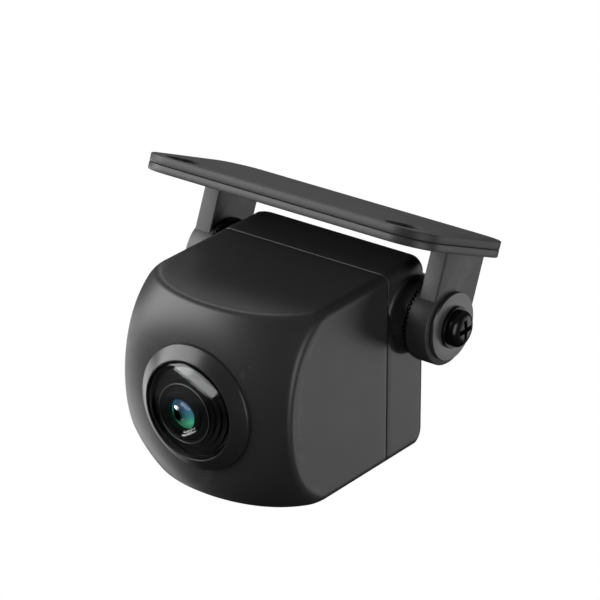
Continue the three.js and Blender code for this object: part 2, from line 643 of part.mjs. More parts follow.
// A deep shell of glass: its hollow leaves room for the stepped nose of the barrel.
function frontGlass() {
  const hollowR = GLASS_R - GLASS_RIM;
  const hollowRim = glassEdgeFront + GLASS_THICK;
  const face = crown(GLASS_R, glassEdgeFront, -GLASS_SAG, 6, false);
  const hollow = crown(hollowR, hollowRim, -GLASS_SAG, 5, true);
  return turned(face.concat([[GLASS_R, glassEdgeRear], [hollowR, glassEdgeRear]], hollow), 32, false);
}

function lensBezel() {
  const bore = GLASS_R + SLIP;
  const profile = [
    [bore, bezelTop], [bore + BEZEL_RIM, bezelTop], [bezelR, bezelTop + BEZEL_CONE],
    [bezelR, bezelBase], [stemOuterR, bezelBase], [stemOuterR, bezelBase + BEZEL_STEM_LENGTH],
    [bore, bezelBase + BEZEL_STEM_LENGTH],
  ];
  return turned(profile, 40);
}

function lensBarrel() {
  const shoulder = barrelFront + BARREL_HEAD_LENGTH;
  const hollowR = GLASS_R - GLASS_RIM;
  const nose = [];
  for (let i = 0; i < NOSE_STEPS; i += 1) {
    const radius = hollowR - SLIP * 2 - i * NOSE_STEP_WIDTH;
    nose.unshift([radius, barrelFront - i * NOSE_STEP_HEIGHT]);
    nose.unshift([radius, barrelFront - (i + 1) * NOSE_STEP_HEIGHT]);
  }
  const profile = [[CELL_R, noseFront]].concat(nose, [
    [GLASS_R - SEAT, barrelFront], [GLASS_R - SEAT, shoulder],
    [BARREL_R, shoulder], [BARREL_R, barrelRear], [RearBoreR, barrelRear],
    [RearBoreR, cellFloor], [CELL_R, cellFloor],
  ]);
  return turned(profile, 32);
}

const ringBase = noseFront - SEAT;
const elementR = CELL_R - SEAT;
const rearLensRear = cellFloor - SEAT;
const rearLensFront = rearLensRear - REAR_LENS_EDGE;
const innerLensFront = noseFront + SEAT;
const innerLensRear = innerLensFront + INNER_LENS_EDGE;

function retainingRing() {
  const profile = [
    [RING_OPENING_R, ringBase - RING_HEIGHT], [RING_R - RING_CHAMFER, ringBase - RING_EDGE_HEIGHT],
    [RING_R, ringBase - RING_EDGE_HEIGHT + RING_CHAMFER], [RING_R, ringBase], [RING_OPENING_R, ringBase],
  ];
  return turned(profile, 32);
}

const sealSectionR = (GLASS_R + SLIP - BARREL_R) / 2 - SEAT;
const sealPlace = barrelFront + BARREL_HEAD_LENGTH + sealSectionR + SEAT;
const sealMiddleR = BARREL_R + SEAT + sealSectionR;

add(head, 'lens_bezel', lensBezel(), BEZEL_BLACK);
add(head, 'front_glass', frontGlass(), GLASS);
add(head, 'lens_barrel', lensBarrel(), BLACK_PLASTIC);
add(head, 'retaining_ring', retainingRing(), BLACK_PLASTIC);
add(head, 'inner_lens', lens(elementR, INNER_LENS_CLEAR_R, innerLensFront, innerLensRear,
  -INNER_LENS_SAG, -INNER_LENS_REAR_SAG), COATED_GLASS);
add(head, 'lens_spacer', ringY(elementR, elementR - SPACER_WALL, innerLensRear + SEAT,
  rearLensFront - SEAT, 20), BLACK_PLASTIC);
add(head, 'rear_lens', lens(elementR, elementR - SPACER_WALL - SEAT, rearLensFront, rearLensRear,
  -REAR_LENS_FRONT_SAG, -REAR_LENS_REAR_SAG), COATED_GLASS);
add(head, 'infrared_filter', rodY(RearBoreR - SEAT, barrelRear - FILTER_SUNK - FILTER_THICK,
  barrelRear - FILTER_SUNK, 0, 0, 28), COATED_GLASS);
add(head, 'lens_seal', new THREE.TorusGeometry(sealMiddleR, sealSectionR, 6, 28)
  .rotateX(Math.PI / 2).translate(0, sealPlace, 0), RUBBER);

// ---- Boards ----------------------------------------------------------------------------

const processorBoardFront = sensorBoardRear + BOARD_SPACING;
const processorBoardRear = processorBoardFront + BOARD_THICK;
const holderRear = sensorBoardFront - SEAT;

// A square board with its four corners notched round the cover's screw posts.
function board(front, rear, holes) {
  const [outX, outZ] = [boardHalfX, boardHalfZ];
  const inX = coverScrewX - COVER_POST_R - BOARD_NOTCH_MARGIN;
  const inZ = coverScrewZ - COVER_POST_R - BOARD_NOTCH_MARGIN;
  const outline = new THREE.Shape([
    [inX, -outZ], [inX, -inZ], [outX, -inZ], [outX, inZ], [inX, inZ], [inX, outZ],
    [-inX, outZ], [-inX, inZ], [-outX, inZ], [-outX, -inZ], [-inX, -inZ], [-inX, -outZ],
  ].map(([x, z]) => new THREE.Vector2(x, z)));
  for (const [x, z] of holes) {
    const hole = new THREE.Path();
    hole.absarc(x, z, SMALL_SHANK_R + SLIP, 0, Math.PI * 2, true);
    outline.holes.push(hole);
  }
  return extrudedY(outline, front, rear, 6);
}

const BOARD_SCREW_PLACES = SIDES.map(([, side]) => [side * boardScrewX, 0]);
const HOLDER_SCREW_PLACES = SIDES.map(([, side]) => [side * HOLDER_SCREW_OFFSET, side * HOLDER_SCREW_OFFSET]);

function lensHolder() {
  const base = box(HOLDER_WIDTH, HOLDER_BASE, HOLDER_WIDTH, 0, holderRear - HOLDER_BASE / 2, 0);
  const tubeFront = holderRear - HOLDER_BASE - HOLDER_TUBE_LENGTH;
  const tube = rodY(BARREL_R + SLIP + HOLDER_TUBE_WALL, tubeFront, holderRear - HOLDER_BASE / 2, 0, 0, 28);
  const bore = rodY(BARREL_R + SLIP, -BEYOND, barrelRear + HOLDER_STOP, 0, 0, 28);
  const window = rodY(HOLDER_WINDOW_R, barrelRear, BEYOND, 0, 0, 20);
  const pocket = box(SENSOR_WIDTH + 2 * SENSOR_MARGIN, 2 * (SENSOR_THICK + SEAT * 4),
    SENSOR_HEIGHT + 2 * SENSOR_MARGIN, 0, holderRear, 0);
  const cuts = [bore, window, pocket];
  for (const [x, z] of HOLDER_SCREW_PLACES) {
    cuts.push(rodY(SMALL_SHANK_R + SLIP, holderRear - HOLDER_SCREW_GRIP - SLIP, BEYOND, x, z, 12));
  }
  return shape([base, tube], cuts);
}

add(head, 'lens_holder', lensHolder(), BLACK_PLASTIC);
add(head, 'image_sensor', box(SENSOR_WIDTH, SENSOR_THICK, SENSOR_HEIGHT,
  0, sensorBoardFront - SEAT - SENSOR_THICK / 2, 0), CHIP_BLACK);
add(head, 'sensor_board', board(sensorBoardFront, sensorBoardRear,
  BOARD_SCREW_PLACES.concat(HOLDER_SCREW_PLACES)), BOARD_GREEN);
add(head, 'processor_board', board(processorBoardFront, processorBoardRear, BOARD_SCREW_PLACES), BOARD_GREEN);
add(head, 'processor_chip', box(CHIP_WIDTH, CHIP_THICK, CHIP_WIDTH,
  0, processorBoardRear + SEAT + CHIP_THICK / 2, CHIP_ABOVE_AXIS), CHIP_BLACK);
add(head, 'board_header', box(HEADER_WIDTH, BOARD_SPACING - 2 * SEAT, HEADER_HEIGHT,
  0, sensorBoardRear + BOARD_SPACING / 2, HEADER_INSET - boardHalfZ), CHIP_BLACK);

function wireSocket() {
  const rear = processorBoardRear + SEAT + SOCKET_THICK;
  const body = box(SOCKET_WIDTH, SOCKET_THICK, SOCKET_HEIGHT, SOCKET_OFFSET,
    rear - SOCKET_THICK / 2, -SOCKET_BELOW_AXIS);
  const mouth = box(SOCKET_WIDTH - 2 * SOCKET_WALL, SOCKET_THICK, SOCKET_HEIGHT - 2 * SOCKET_WALL,
    SOCKET_OFFSET, rear - SOCKET_THICK / 2 + SOCKET_WALL, -SOCKET_BELOW_AXIS);
  return shape([body], [mouth]);
}

add(head, 'wire_socket', wireSocket(), SOCKET_WHITE);

for (const [name, side] of SIDES) {
  const boardX = side * boardScrewX;
  const holderOffset = side * HOLDER_SCREW_OFFSET;
  const spacer = ringY(BOARD_POST_R, SMALL_SHANK_R + SLIP, sensorBoardRear + SEAT,
    processorBoardFront - SEAT, 12);
  add(head, `board_spacer_${name}`, spacer.translate(boardX, 0, 0), BRASS);
  const screw = panScrew(sensorBoardFront - BOARD_SCREW_GRIP, processorBoardRear + SEAT,
    SMALL_SHANK_R, BOARD_HEAD_R, BOARD_HEAD_HEIGHT);
  add(head, `board_screw_${name}`, screw.translate(boardX, 0, 0), STEEL);
  const holderScrew = panScrew(holderRear - HOLDER_SCREW_GRIP, sensorBoardRear + SEAT,
    SMALL_SHANK_R, HOLDER_HEAD_R, HOLDER_HEAD_HEIGHT);
  add(head, `holder_screw_${name}`, holderScrew.translate(holderOffset, 0, holderOffset), STEEL);
}

export default camera;
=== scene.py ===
"""A backup camera on its tilt bracket: the finished surfaces, materials, light and camera."""
import json
import math

import bmesh
import bpy
import numpy as np
from mathutils import Matrix, Vector


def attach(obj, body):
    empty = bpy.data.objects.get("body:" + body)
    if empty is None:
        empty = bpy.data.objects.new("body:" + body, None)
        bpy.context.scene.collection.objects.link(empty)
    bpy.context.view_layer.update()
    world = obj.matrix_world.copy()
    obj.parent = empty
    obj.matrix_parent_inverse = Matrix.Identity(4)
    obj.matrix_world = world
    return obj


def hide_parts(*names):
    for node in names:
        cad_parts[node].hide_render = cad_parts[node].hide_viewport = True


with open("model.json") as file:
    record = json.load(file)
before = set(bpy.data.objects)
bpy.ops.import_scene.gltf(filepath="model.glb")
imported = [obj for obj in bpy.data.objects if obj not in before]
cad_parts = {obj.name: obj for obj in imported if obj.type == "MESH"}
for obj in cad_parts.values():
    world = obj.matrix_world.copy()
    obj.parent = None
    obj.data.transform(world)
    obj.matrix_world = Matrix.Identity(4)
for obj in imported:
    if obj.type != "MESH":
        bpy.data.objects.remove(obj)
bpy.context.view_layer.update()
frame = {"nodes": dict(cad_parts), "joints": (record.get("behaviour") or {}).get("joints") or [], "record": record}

# ---- Sizes, in millimetres, as the frame has them ---------------------------------------

MM = 0.001

BRACKET, HEAD = "bracket_body", "camera_head"
SIDES = (("left", -1), ("right", 1))
CORNERS = (("upper_left", -1, 1), ("upper_right", 1, 1), ("lower_left", -1, -1), ("lower_right", 1, -1))

REST_TILT = math.radians(22.7)
HINGE = Vector(frame["joints"][0]["pos_m"]) / MM
HINGE_BEHIND_SEAM = 4.85
HINGE_ABOVE_AXIS = 6.44

HEAD_WIDTH, HEAD_HEIGHT = 26.5, 26.6
HEAD_CORNER = 1.3
WALL = 1.7
SHOULDER = 3.45
DOME_LENGTH, DOME_RADIUS, DOME_POWER = 19.4, 19.5, 2.9
DOME_FILLET = 0.6
COVER_DEPTH = 8.8
COVER_EDGE, COVER_EDGE_LENGTH = 1.6, 2.0
REAR_CORNER = 1.4
SEAM = 0.12
SEAM_EDGE = 0.14
BOSS_R = 4.85
BOSS_ROOT = 0.6
JOINT_FACE = 15.85
JOINT_GAP = 0.12
SERRATION_HEIGHT = 0.28
SERRATION_INNER_R, TOOTH_COUNT, TOOTH_SIZE = 2.9, 54, 0.19
BOSS_FACE, EAR_FACE = JOINT_FACE - SERRATION_HEIGHT, JOINT_FACE + JOINT_GAP + SERRATION_HEIGHT

PLATE_LENGTH, PLATE_DEPTH, PLATE_CORNER = 44.9, 22.2, 4.7
PLATE_THICK, PAD_THICK, SEAT = 1.0, 1.05, 0.05
PLATE_HOLE_X, PLATE_HOLE_Y = 17.25, -7.2
PLATE_HOLE_R, PAD_HOLE_R = 1.6, 2.6
EAR_R, EAR_BORE_R = 5.25, 1.6
ARM_INNER, ARM_OUTER, ARM_WIDTH = 16.7, 19.3, 8.9

FLAT_WASHER_R, FLAT_WASHER_THICK = 4.45, 0.6
LOCK_WASHER_R, LOCK_WASHER_THICK = 2.75, 0.5
SHANK_R, PIVOT_HEAD_R, PIVOT_HEAD_HEIGHT = 1.2, 2.4, 1.35
WASHER_BORE_R = SHANK_R + 0.24

BEZEL_R, BEZEL_TOP, BEZEL_CONE, BEZEL_BASE = 8.4, -23.9, 1.3, -21.25
GLASS_R, GLASS_EDGE_FRONT, GLASS_EDGE_REAR, GLASS_SAG = 6.4, -23.8, -22.85, 2.48
BEZEL_REAR = BEZEL_BASE + 2.1
GLASS_RIM, GLASS_THICK = 0.5, 0.4
HOUSING_BORE_R = GLASS_R + 0.74
BARREL_FRONT, BARREL_REAR = -22.8, -9.4
BARREL_R, FLANGE_R = 6.0, 6.35
NOSE_FRONT, NOSE_STEP, NOSE_BORE_R = -24.3, 0.5, 3.6

GLAND_BELOW_AXIS, GLAND_HOLE_R = 5.2, 3.02
COVER_SCREW_INSET, COVER_SHANK_R, COVER_HEAD_R, COVER_HEAD_HEIGHT = 3.5, 0.75, 1.5, 1.15

TO_HEAD = (Matrix.Translation(HINGE) @ Matrix.Rotation(REST_TILT, 4, "X")
           @ Matrix.Translation((0, -HINGE_BEHIND_SEAM, -HINGE_ABOVE_AXIS)))
HEAD_JOINT = TO_HEAD @ Matrix.Translation((0, HINGE_BEHIND_SEAM, HINGE_ABOVE_AXIS))
GLAND_PLACE = TO_HEAD @ Matrix.Translation((0, 0, -GLAND_BELOW_AXIS))
TO_HINGE = Matrix.Translation(HINGE)
UPRIGHT = Matrix.Identity(4)


def along_x(side):
    """Turns a shape made round Y so that its +Y points to that side."""
    return Matrix.Rotation(-side * math.pi / 2, 4, "Z")


# ---- Mesh helpers -------------------------------------------------------------------------


def mesh_from(points, faces, matrix=UPRIGHT):
    """A mesh in metres from millimetre points, with its faces turned outwards."""
    mesh = bpy.data.meshes.new("mesh")
    mesh.from_pydata([matrix @ Vector(p) * MM for p in points], [], faces)
    shell = bmesh.new()
    shell.from_mesh(mesh)
    bmesh.ops.remove_doubles(shell, verts=shell.verts, dist=1e-7)
    bmesh.ops.recalc_face_normals(shell, faces=shell.faces)
    shell.to_mesh(mesh)
    shell.free()
    return mesh


def piece_from(mesh, name):
    piece = bpy.data.objects.new(name, mesh)
    mesh.name = name
    bpy.context.scene.collection.objects.link(piece)
    return piece


def rings_mesh(rings, matrix=UPRIGHT, closed=False):
    """Joins rings that have the same number of points. Open ends are capped."""
    count = len(rings[0])
    points = [p for ring in rings for p in ring]
    faces = []
    last = len(rings) if closed else len(rings) - 1
    for k in range(last):
        a, b = k * count, (k + 1) % len(rings) * count
        for i in range(count):
            j = (i + 1) % count
            faces.append((a + i, a + j, b + j, b + i))
    if not closed:
        faces.append(tuple(range(count)))
        faces.append(tuple(range(len(points) - count, len(points))))
    return mesh_from(points, faces, matrix)


def softened(corners, radius, steps=4):
    """Rounds each corner of an outline with a short curve."""
    soft = []
    count = len(corners)
    for i, corner in enumerate(corners):
        here = Vector(corner)
        before, after = Vector(corners[i - 1]) - here, Vector(corners[(i + 1) % count]) - here
        reach_in = min(radius, 0.45 * before.length)
        reach_out = min(radius, 0.45 * after.length)
        start, end = here + before.normalized() * reach_in, here + after.normalized() * reach_out
        for k in range(steps + 1):
            t = k / steps
            soft.append(tuple(start * (1 - t) ** 2 + here * 2 * t * (1 - t) + end * t * t))
    return soft


def turned(profile, matrix=UPRIGHT, segments=128):
    """Turns an outline of (radius, along) round Y. It may start and end on the axis."""
    on_axis = profile[0][0] == 0
    rings = []
    for radius, along in profile:
        radius = max(radius, 1e-5)
        rings.append([(radius * math.cos(a), along, radius * math.sin(a))
                      for a in (2 * math.pi * i / segments for i in range(segments))])
    return rings_mesh(rings, matrix, closed=not on_axis)


def rounded_outline(width, height, radius, side_steps=30, corner_steps=8):
    """Points of a rounded rectangle, anticlockwise, with the same number for any size."""
    right, top = width / 2 - radius, height / 2 - radius
    centres = ((right, top), (-right, top), (-right, -top), (right, -top))
    points = []
    for quarter, (cx, cz) in enumerate(centres):
        for k in range(corner_steps + 1):
            a = math.pi / 2 * (quarter + k / corner_steps)
            points.append((cx + radius * math.cos(a), cz + radius * math.sin(a)))
        nx, nz = centres[(quarter + 1) % 4]
        turn = math.pi / 2 * (quarter + 1)
        start = (cx + radius * math.cos(turn), cz + radius * math.sin(turn))
        end = (nx + radius * math.cos(turn), nz + radius * math.sin(turn))
        for k in range(1, side_steps):
            t = k / side_steps
            points.append((start[0] + (end[0] - start[0]) * t, start[1] + (end[1] - start[1]) * t))
    return points


def evaluated_mesh(piece):
    """The mesh of a piece with its modifiers applied. The modifiers are then removed."""
    bpy.context.view_layer.update()
    graph = bpy.context.evaluated_depsgraph_get()
    mesh = bpy.data.meshes.new_from_object(piece.evaluated_get(graph))
    piece.modifiers.clear()
    return mesh


def combined(mesh, others, operation):
    """Joins the other meshes to the first, or cuts them from it."""
    base = piece_from(mesh, "base")
    tools = []
    for k, other in enumerate(others):
        tool = piece_from(other, f"tool_{k}")
        tools.append(tool)
        step = base.modifiers.new("step", "BOOLEAN")
        step.operation = operation
        step.solver = "EXACT"
        step.object = tool
    result = evaluated_mesh(base)
    for tool in tools + [base]:
        bpy.data.objects.remove(tool)
    return result


def finish_piece(mesh, name, body, slot, replaced=(), smooth_angle=32):
    """Shades a mesh, gives it its slot's material and hands it to its body."""
    mesh.materials.clear()
    mesh.materials.append(SLOT_MATERIALS[slot])
    for face in mesh.polygons:
        face.material_index = 0
    mesh.shade_smooth()
    mesh.set_sharp_from_angle(angle=math.radians(smooth_angle))
    piece = piece_from(mesh, name)
    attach(piece, body)
    if replaced:
        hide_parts(*replaced)
    return piece


# ---- Shader groups ------------------------------------------------------------------------


def new_group(name, inputs, outputs):
    """A shader node group with named inputs (name, type, value) and outputs (name, type)."""
    group = bpy.data.node_groups.new(name, "ShaderNodeTree")
    for label, kind, value in inputs:
        socket = group.interface.new_socket(name=label, in_out="INPUT", socket_type=kind)
        socket.default_value = value
    for label, kind in outputs:
        group.interface.new_socket(name=label, in_out="OUTPUT", socket_type=kind)
    return group, group.nodes.new("NodeGroupInput"), group.nodes.new("NodeGroupOutput")


def add_node(tree, kind, values=()):
    """Adds a node. Each value is linked to its input, or set there where it is plain."""
    node = tree.nodes.new(kind)
    for key, value in dict(values).items():
        if isinstance(value, bpy.types.NodeSocket):
            tree.links.new(value, node.inputs[key])
        else:
            node.inputs[key].default_value = value
    return node


def math_node(tree, operation, first, second=0.5):
    node = add_node(tree, "ShaderNodeMath", {0: first, 1: second})
    node.operation = operation
    return node.outputs[0]


def noise_node(tree, coords, scale, detail=2.0, roughness=0.5):
    return add_node(tree, "ShaderNodeTexNoise", {
        "Vector": coords, "Scale": scale, "Detail": detail, "Roughness": roughness}).outputs["Fac"]


def map_node(tree, value, from_low, from_high, to_low=0.0, to_high=1.0):
    return add_node(tree, "ShaderNodeMapRange", {
        "Value": value, "From Min": from_low, "From Max": from_high,
        "To Min": to_low, "To Max": to_high}).outputs["Result"]


def length_node(tree, first, second):
    """The length of a vector with two parts."""
    squares = [math_node(tree, "MULTIPLY", part, part) for part in (first, second)]
    return math_node(tree, "SQRT", math_node(tree, "ADD", *squares))


def mixed_colour(tree, factor, first, second):
    node = tree.nodes.new("ShaderNodeMix")
    node.data_type = "RGBA"
    tree.links.new(factor, node.inputs["Factor"])
    for key, value in ((6, first), (7, second)):
        if isinstance(value, tuple):
            node.inputs[key].default_value = value
        else:
            tree.links.new(value, node.inputs[key])
    return node.outputs[2]


def make_moulded_grain():
    """Spark-eroded mould grain: a height, and a roughness that wanders a little."""
    group, source, sink = new_group(
        "moulded_grain",
        [("Coords", "NodeSocketVector", (0, 0, 0)), ("Grain Scale", "NodeSocketFloat", 9000.0),
         ("Roughness", "NodeSocketFloat", 0.4), ("Wander", "NodeSocketFloat", 0.05)],
        [("Height", "NodeSocketFloat"), ("Roughness", "NodeSocketFloat")])
    coords = source.outputs["Coords"]
    fine = noise_node(group, coords, source.outputs["Grain Scale"], 3.0, 0.6)
    slow = noise_node(group, coords, 260.0, 3.0)
    drift = math_node(group, "MULTIPLY", math_node(group, "SUBTRACT", slow, 0.5), source.outputs["Wander"])
    group.links.new(fine, sink.inputs["Height"])
    group.links.new(math_node(group, "ADD", source.outputs["Roughness"], drift), sink.inputs["Roughness"])
    return group


def make_edge_highlight():
    """A mask for a painted highlight on sharp outer edges, strong there and broken up by noise."""
    group, source, sink = new_group(
        "painted_edge_highlight",
        [("Coords", "NodeSocketVector", (0, 0, 0)), ("Amount", "NodeSocketFloat", 0.5)],
        [("Mask", "NodeSocketFloat")])
    shape = group.nodes.new("ShaderNodeNewGeometry")
    edge = map_node(group, shape.outputs["Pointiness"], 0.515, 0.6)
    broken = map_node(group, noise_node(group, source.outputs["Coords"], 900.0, 3.0), 0.3, 0.65, 0.4, 1.0)
    mask = math_node(group, "MULTIPLY", edge, broken)
    group.links.new(math_node(group, "MULTIPLY", mask, source.outputs["Amount"]), sink.inputs["Mask"])
    return group


def make_soft_mottle():
    """Two colours mixed by soft clouds, as pigment and handling leave them."""
    group, source, sink = new_group(
        "soft_mottle",
        [("Coords", "NodeSocketVector", (0, 0, 0)), ("Scale", "NodeSocketFloat", 120.0),
         ("Colour A", "NodeSocketColor", (0, 0, 0, 1)), ("Colour B", "NodeSocketColor", (1, 1, 1, 1))],
        [("Colour", "NodeSocketColor")])
    cloud = noise_node(group, source.outputs["Coords"], source.outputs["Scale"], 4.0, 0.55)
    colour = mixed_colour(group, cloud, source.outputs["Colour A"], source.outputs["Colour B"])
    group.links.new(colour, sink.inputs["Colour"])
    return group


def make_turning_lines():
    """Fine rings left by a lathe round the Y axis of the given coordinates."""
    group, source, sink = new_group(
        "turning_lines",
        [("Coords", "NodeSocketVector", (0, 0, 0)), ("Pitch Scale", "NodeSocketFloat", 20000.0)],
        [("Height", "NodeSocketFloat")])
    split = add_node(group, "ShaderNodeSeparateXYZ", {0: source.outputs["Coords"]})
    radius = length_node(group, split.outputs[0], split.outputs[2])
    joined = add_node(group, "ShaderNodeCombineXYZ", {0: radius, 1: split.outputs[1]})
    rings = noise_node(group, joined.outputs[0], source.outputs["Pitch Scale"], 1.0)
    group.links.new(rings, sink.inputs["Height"])
    return group


GRAIN = make_moulded_grain()
EDGE_HIGHLIGHT = make_edge_highlight()
MOTTLE = make_soft_mottle()
TURNING = make_turning_lines()

# ---- Materials ----------------------------------------------------------------------------


def new_material(name):
    material = bpy.data.materials.new(name)
    material.use_nodes = True
    tree = material.node_tree
    shader = tree.nodes["Principled BSDF"]
    coords = tree.nodes.new("ShaderNodeTexCoord").outputs["Object"]
    return material, tree, shader, coords


# Light grey for the painted highlight on sharp outer edges.
EDGE_HIGHLIGHT_GREY = (0.13, 0.13, 0.135)
ROUND_X = (0, 0, math.pi / 2)
ROUND_LENS = (REST_TILT, 0, 0)


def placed_group(tree, group, coords, **values):
    node = tree.nodes.new("ShaderNodeGroup")
    node.node_tree = group
    tree.links.new(coords, node.inputs["Coords"])
    for label, value in values.items():
        node.inputs[label.replace("_", " ")].default_value = value
    return node


def add_bump(tree, shader, height, strength, distance):
    bump = add_node(tree, "ShaderNodeBump", {
        "Strength": strength, "Distance": distance * MM, "Height": height})
    tree.links.new(bump.outputs["Normal"], shader.inputs["Normal"])


def rgb(red, green, blue):
    return (red, green, blue, 1.0)


def mottled(tree, coords, scale, dark, light):
    group = placed_group(tree, MOTTLE, coords, Scale=scale, Colour_A=rgb(*dark), Colour_B=rgb(*light))
    return group.outputs["Colour"]


def grained(tree, shader, coords, grain, roughness, wander, strength, depth):
    """Gives a shader the moulded grain's roughness and bump."""
    surface = placed_group(tree, GRAIN, coords, Grain_Scale=grain, Roughness=roughness, Wander=wander)
    tree.links.new(surface.outputs["Roughness"], shader.inputs["Roughness"])
    add_bump(tree, shader, surface.outputs["Height"], strength, depth)


def plastic(name, dark, light, roughness, grain=9000.0, depth=0.012, strength=0.35, edge_highlight=0.25):
    """Moulded plastic: mottled colour, spark grain, and a painted highlight that makes sharp edges lighter."""
    material, tree, shader, coords = new_material(name)
    # Sharp outer edges are painted lighter grey: a painted highlight.
    edge = placed_group(tree, EDGE_HIGHLIGHT, coords, Amount=edge_highlight).outputs["Mask"]
    colour = mixed_colour(tree, edge, mottled(tree, coords, 150.0, dark, light), rgb(*EDGE_HIGHLIGHT_GREY))
    tree.links.new(colour, shader.inputs["Base Color"])
    grained(tree, shader, coords, grain, roughness, 0.06, strength, depth)
    return material


def placed_coords(tree, coords, centre, turn, scale=(1, 1, 1)):
    """Coordinates that start at a centre given in millimetres."""
    place = add_node(tree, "ShaderNodeMapping", {"Vector": coords})
    place.vector_type = "TEXTURE"
    place.inputs["Location"].default_value = Vector(centre) * MM
    place.inputs["Rotation"].default_value = turn
    place.inputs["Scale"].default_value = scale
    return place.outputs["Vector"]


def turned_metal(name, colour, roughness, centre, turn=ROUND_X, metallic=1.0):
    """Metal or paint with fine lathe rings round an axis through `centre`."""
    material, tree, shader, coords = new_material(name)
    place = placed_coords(tree, coords, centre, turn)
    rings = placed_group(tree, TURNING, place, Pitch_Scale=9000.0)
    shader.inputs["Metallic"].default_value = metallic
    tone = mottled(tree, coords, 700.0, colour, [0.82 * c for c in colour])
    tree.links.new(tone, shader.inputs["Base Color"])
    rough = map_node(tree, rings.outputs["Height"], 0.3, 0.7, roughness * 0.85, roughness * 1.2)
    tree.links.new(rough, shader.inputs["Roughness"])
    add_bump(tree, shader, rings.outputs["Height"], 0.25, 0.01)
    return material


def rubbery(name, dark, light, roughness, grain, depth):
    """Rubber: no painted edge highlight, a coarser open grain."""
    material, tree, shader, coords = new_material(name)
    tree.links.new(mottled(tree, coords, 2400.0, dark, light), shader.inputs["Base Color"])
    shader.inputs["Specular IOR Level"].default_value = 0.3
    grained(tree, shader, coords, grain, roughness, 0.1, 0.5, depth)
    return material


def clear_glass(name):
    """The front glass: nearly no bend of light, with the gloss of a coated, polished face."""
    material, tree, shader, coords = new_material(name)
    for label, value in (("Transmission Weight", 1.0), ("IOR", 1.02), ("Roughness", 0.0),
                         ("Coat Weight", 1.0), ("Coat IOR", 1.5), ("Coat Roughness", 0.02)):
        shader.inputs[label].default_value = value
    smear = noise_node(tree, coords, 500.0, 3.0)
    tint = mixed_colour(tree, smear, rgb(0.93, 0.95, 0.97), rgb(0.96, 0.97, 0.97))
    tree.links.new(tint, shader.inputs["Base Color"])
    return material


def coated_glass(name):
    """The small coated element: its coating's reflection is painted on, blue above, green below and dark towards
    its lower left, and it glows with that painted colour though it is no lamp.
    """
    material, tree, shader, coords = new_material(name)
    centre = TO_HEAD @ Vector((0, NOSE_FRONT, 0))
    place = placed_coords(tree, coords, centre, ROUND_LENS, (2 * MM, 2 * MM, 2 * MM))
    split = add_node(tree, "ShaderNodeSeparateXYZ", {0: place})
    ramp = tree.nodes.new("ShaderNodeValToRGB")
    stops = ((0.06, (0.03, 0.14, 0.08)), (0.3, (0.055, 0.29, 0.16)), (0.5, (0.03, 0.16, 0.16)),
             (0.72, (0.035, 0.09, 0.15)), (0.95, (0.03, 0.06, 0.09)))
    while len(ramp.color_ramp.elements) < len(stops):
        ramp.color_ramp.elements.new(0.5)
    for element, (where, colour) in zip(ramp.color_ramp.elements, stops):
        element.position = where
        element.color = rgb(*colour)
    height = map_node(tree, split.outputs[2], -1.0, 1.0)
    tree.links.new(height, ramp.inputs["Fac"])
    sideways = math_node(tree, "SUBTRACT", split.outputs[0], -0.25)
    upwards = math_node(tree, "SUBTRACT", split.outputs[2], -0.05)
    painted_reflection_mask = map_node(tree, length_node(tree, sideways, upwards), 0.3, 0.95)
    painted_reflection_colour = mixed_colour(tree, painted_reflection_mask, rgb(0.0, 0.0, 0.0), ramp.outputs["Color"])
    # The painted reflection colour is also given off as light: a painted glow.
    for label in ("Base Color", "Emission Color"):
        tree.links.new(painted_reflection_colour, shader.inputs[label])
    shader.inputs["Emission Strength"].default_value = 1.1
    shader.inputs["Roughness"].default_value = 0.04
    shader.inputs["IOR"].default_value = 1.6
    return material


def circuit_board(name):
    """Green solder mask over copper tracks and pads."""
    material, tree, shader, coords = new_material(name)
    brick = add_node(tree, "ShaderNodeTexBrick", {
        "Vector": coords, "Scale": 420.0, "Mortar Size": 0.09, "Color1": rgb(0.012, 0.085, 0.035),
        "Color2": rgb(0.016, 0.11, 0.045), "Mortar": rgb(0.03, 0.2, 0.08)})
    tree.links.new(brick.outputs["Color"], shader.inputs["Base Color"])
    surface = placed_group(tree, GRAIN, coords, Grain_Scale=6000.0, Roughness=0.35, Wander=0.1)
    tree.links.new(surface.outputs["Roughness"], shader.inputs["Roughness"])
    add_bump(tree, shader, brick.outputs["Fac"], 0.3, 0.02)
    return material


LENS_AXIS_POINT = TO_HEAD @ Vector((0, 0, 0))
HOUSING = plastic("charcoal_housing", (0.030, 0.030, 0.031), (0.036, 0.036, 0.037), 0.40)
BRACKET_PLASTIC = plastic("charcoal_bracket", (0.034, 0.034, 0.035), (0.042, 0.042, 0.043), 0.44)
BEZEL = plastic("gloss_bezel", (0.026, 0.026, 0.027), (0.032, 0.032, 0.033), 0.3, 14000.0,
                0.004, 0.15, 0.1)
BARREL = turned_metal("black_barrel", (0.004, 0.004, 0.0045), 0.5, LENS_AXIS_POINT, ROUND_LENS,
                      metallic=0.0)
FOAM = plastic("pad_foam", (0.032, 0.032, 0.033), (0.040, 0.040, 0.041), 0.5, grain=6000.0, edge_highlight=0.0)
RUBBER = rubbery("black_rubber", (0.008, 0.008, 0.008), (0.014, 0.014, 0.014), 0.6, 4000.0, 0.02)
BLACK_STEEL = turned_metal("black_oxide_steel", (0.02, 0.02, 0.021), 0.22, HINGE, metallic=0.6)
WASHER = turned_metal("grey_washer", (0.13, 0.13, 0.134), 0.34, HINGE, metallic=0.4)
BRASS = turned_metal("turned_brass", (0.72, 0.5, 0.22), 0.3, HINGE)
ZINC = turned_metal("zinc_screw", (0.55, 0.56, 0.58), 0.3, LENS_AXIS_POINT, ROUND_LENS)
GLASS = clear_glass("front_glass_clear")
COATED = coated_glass("coated_element_painted_reflection")
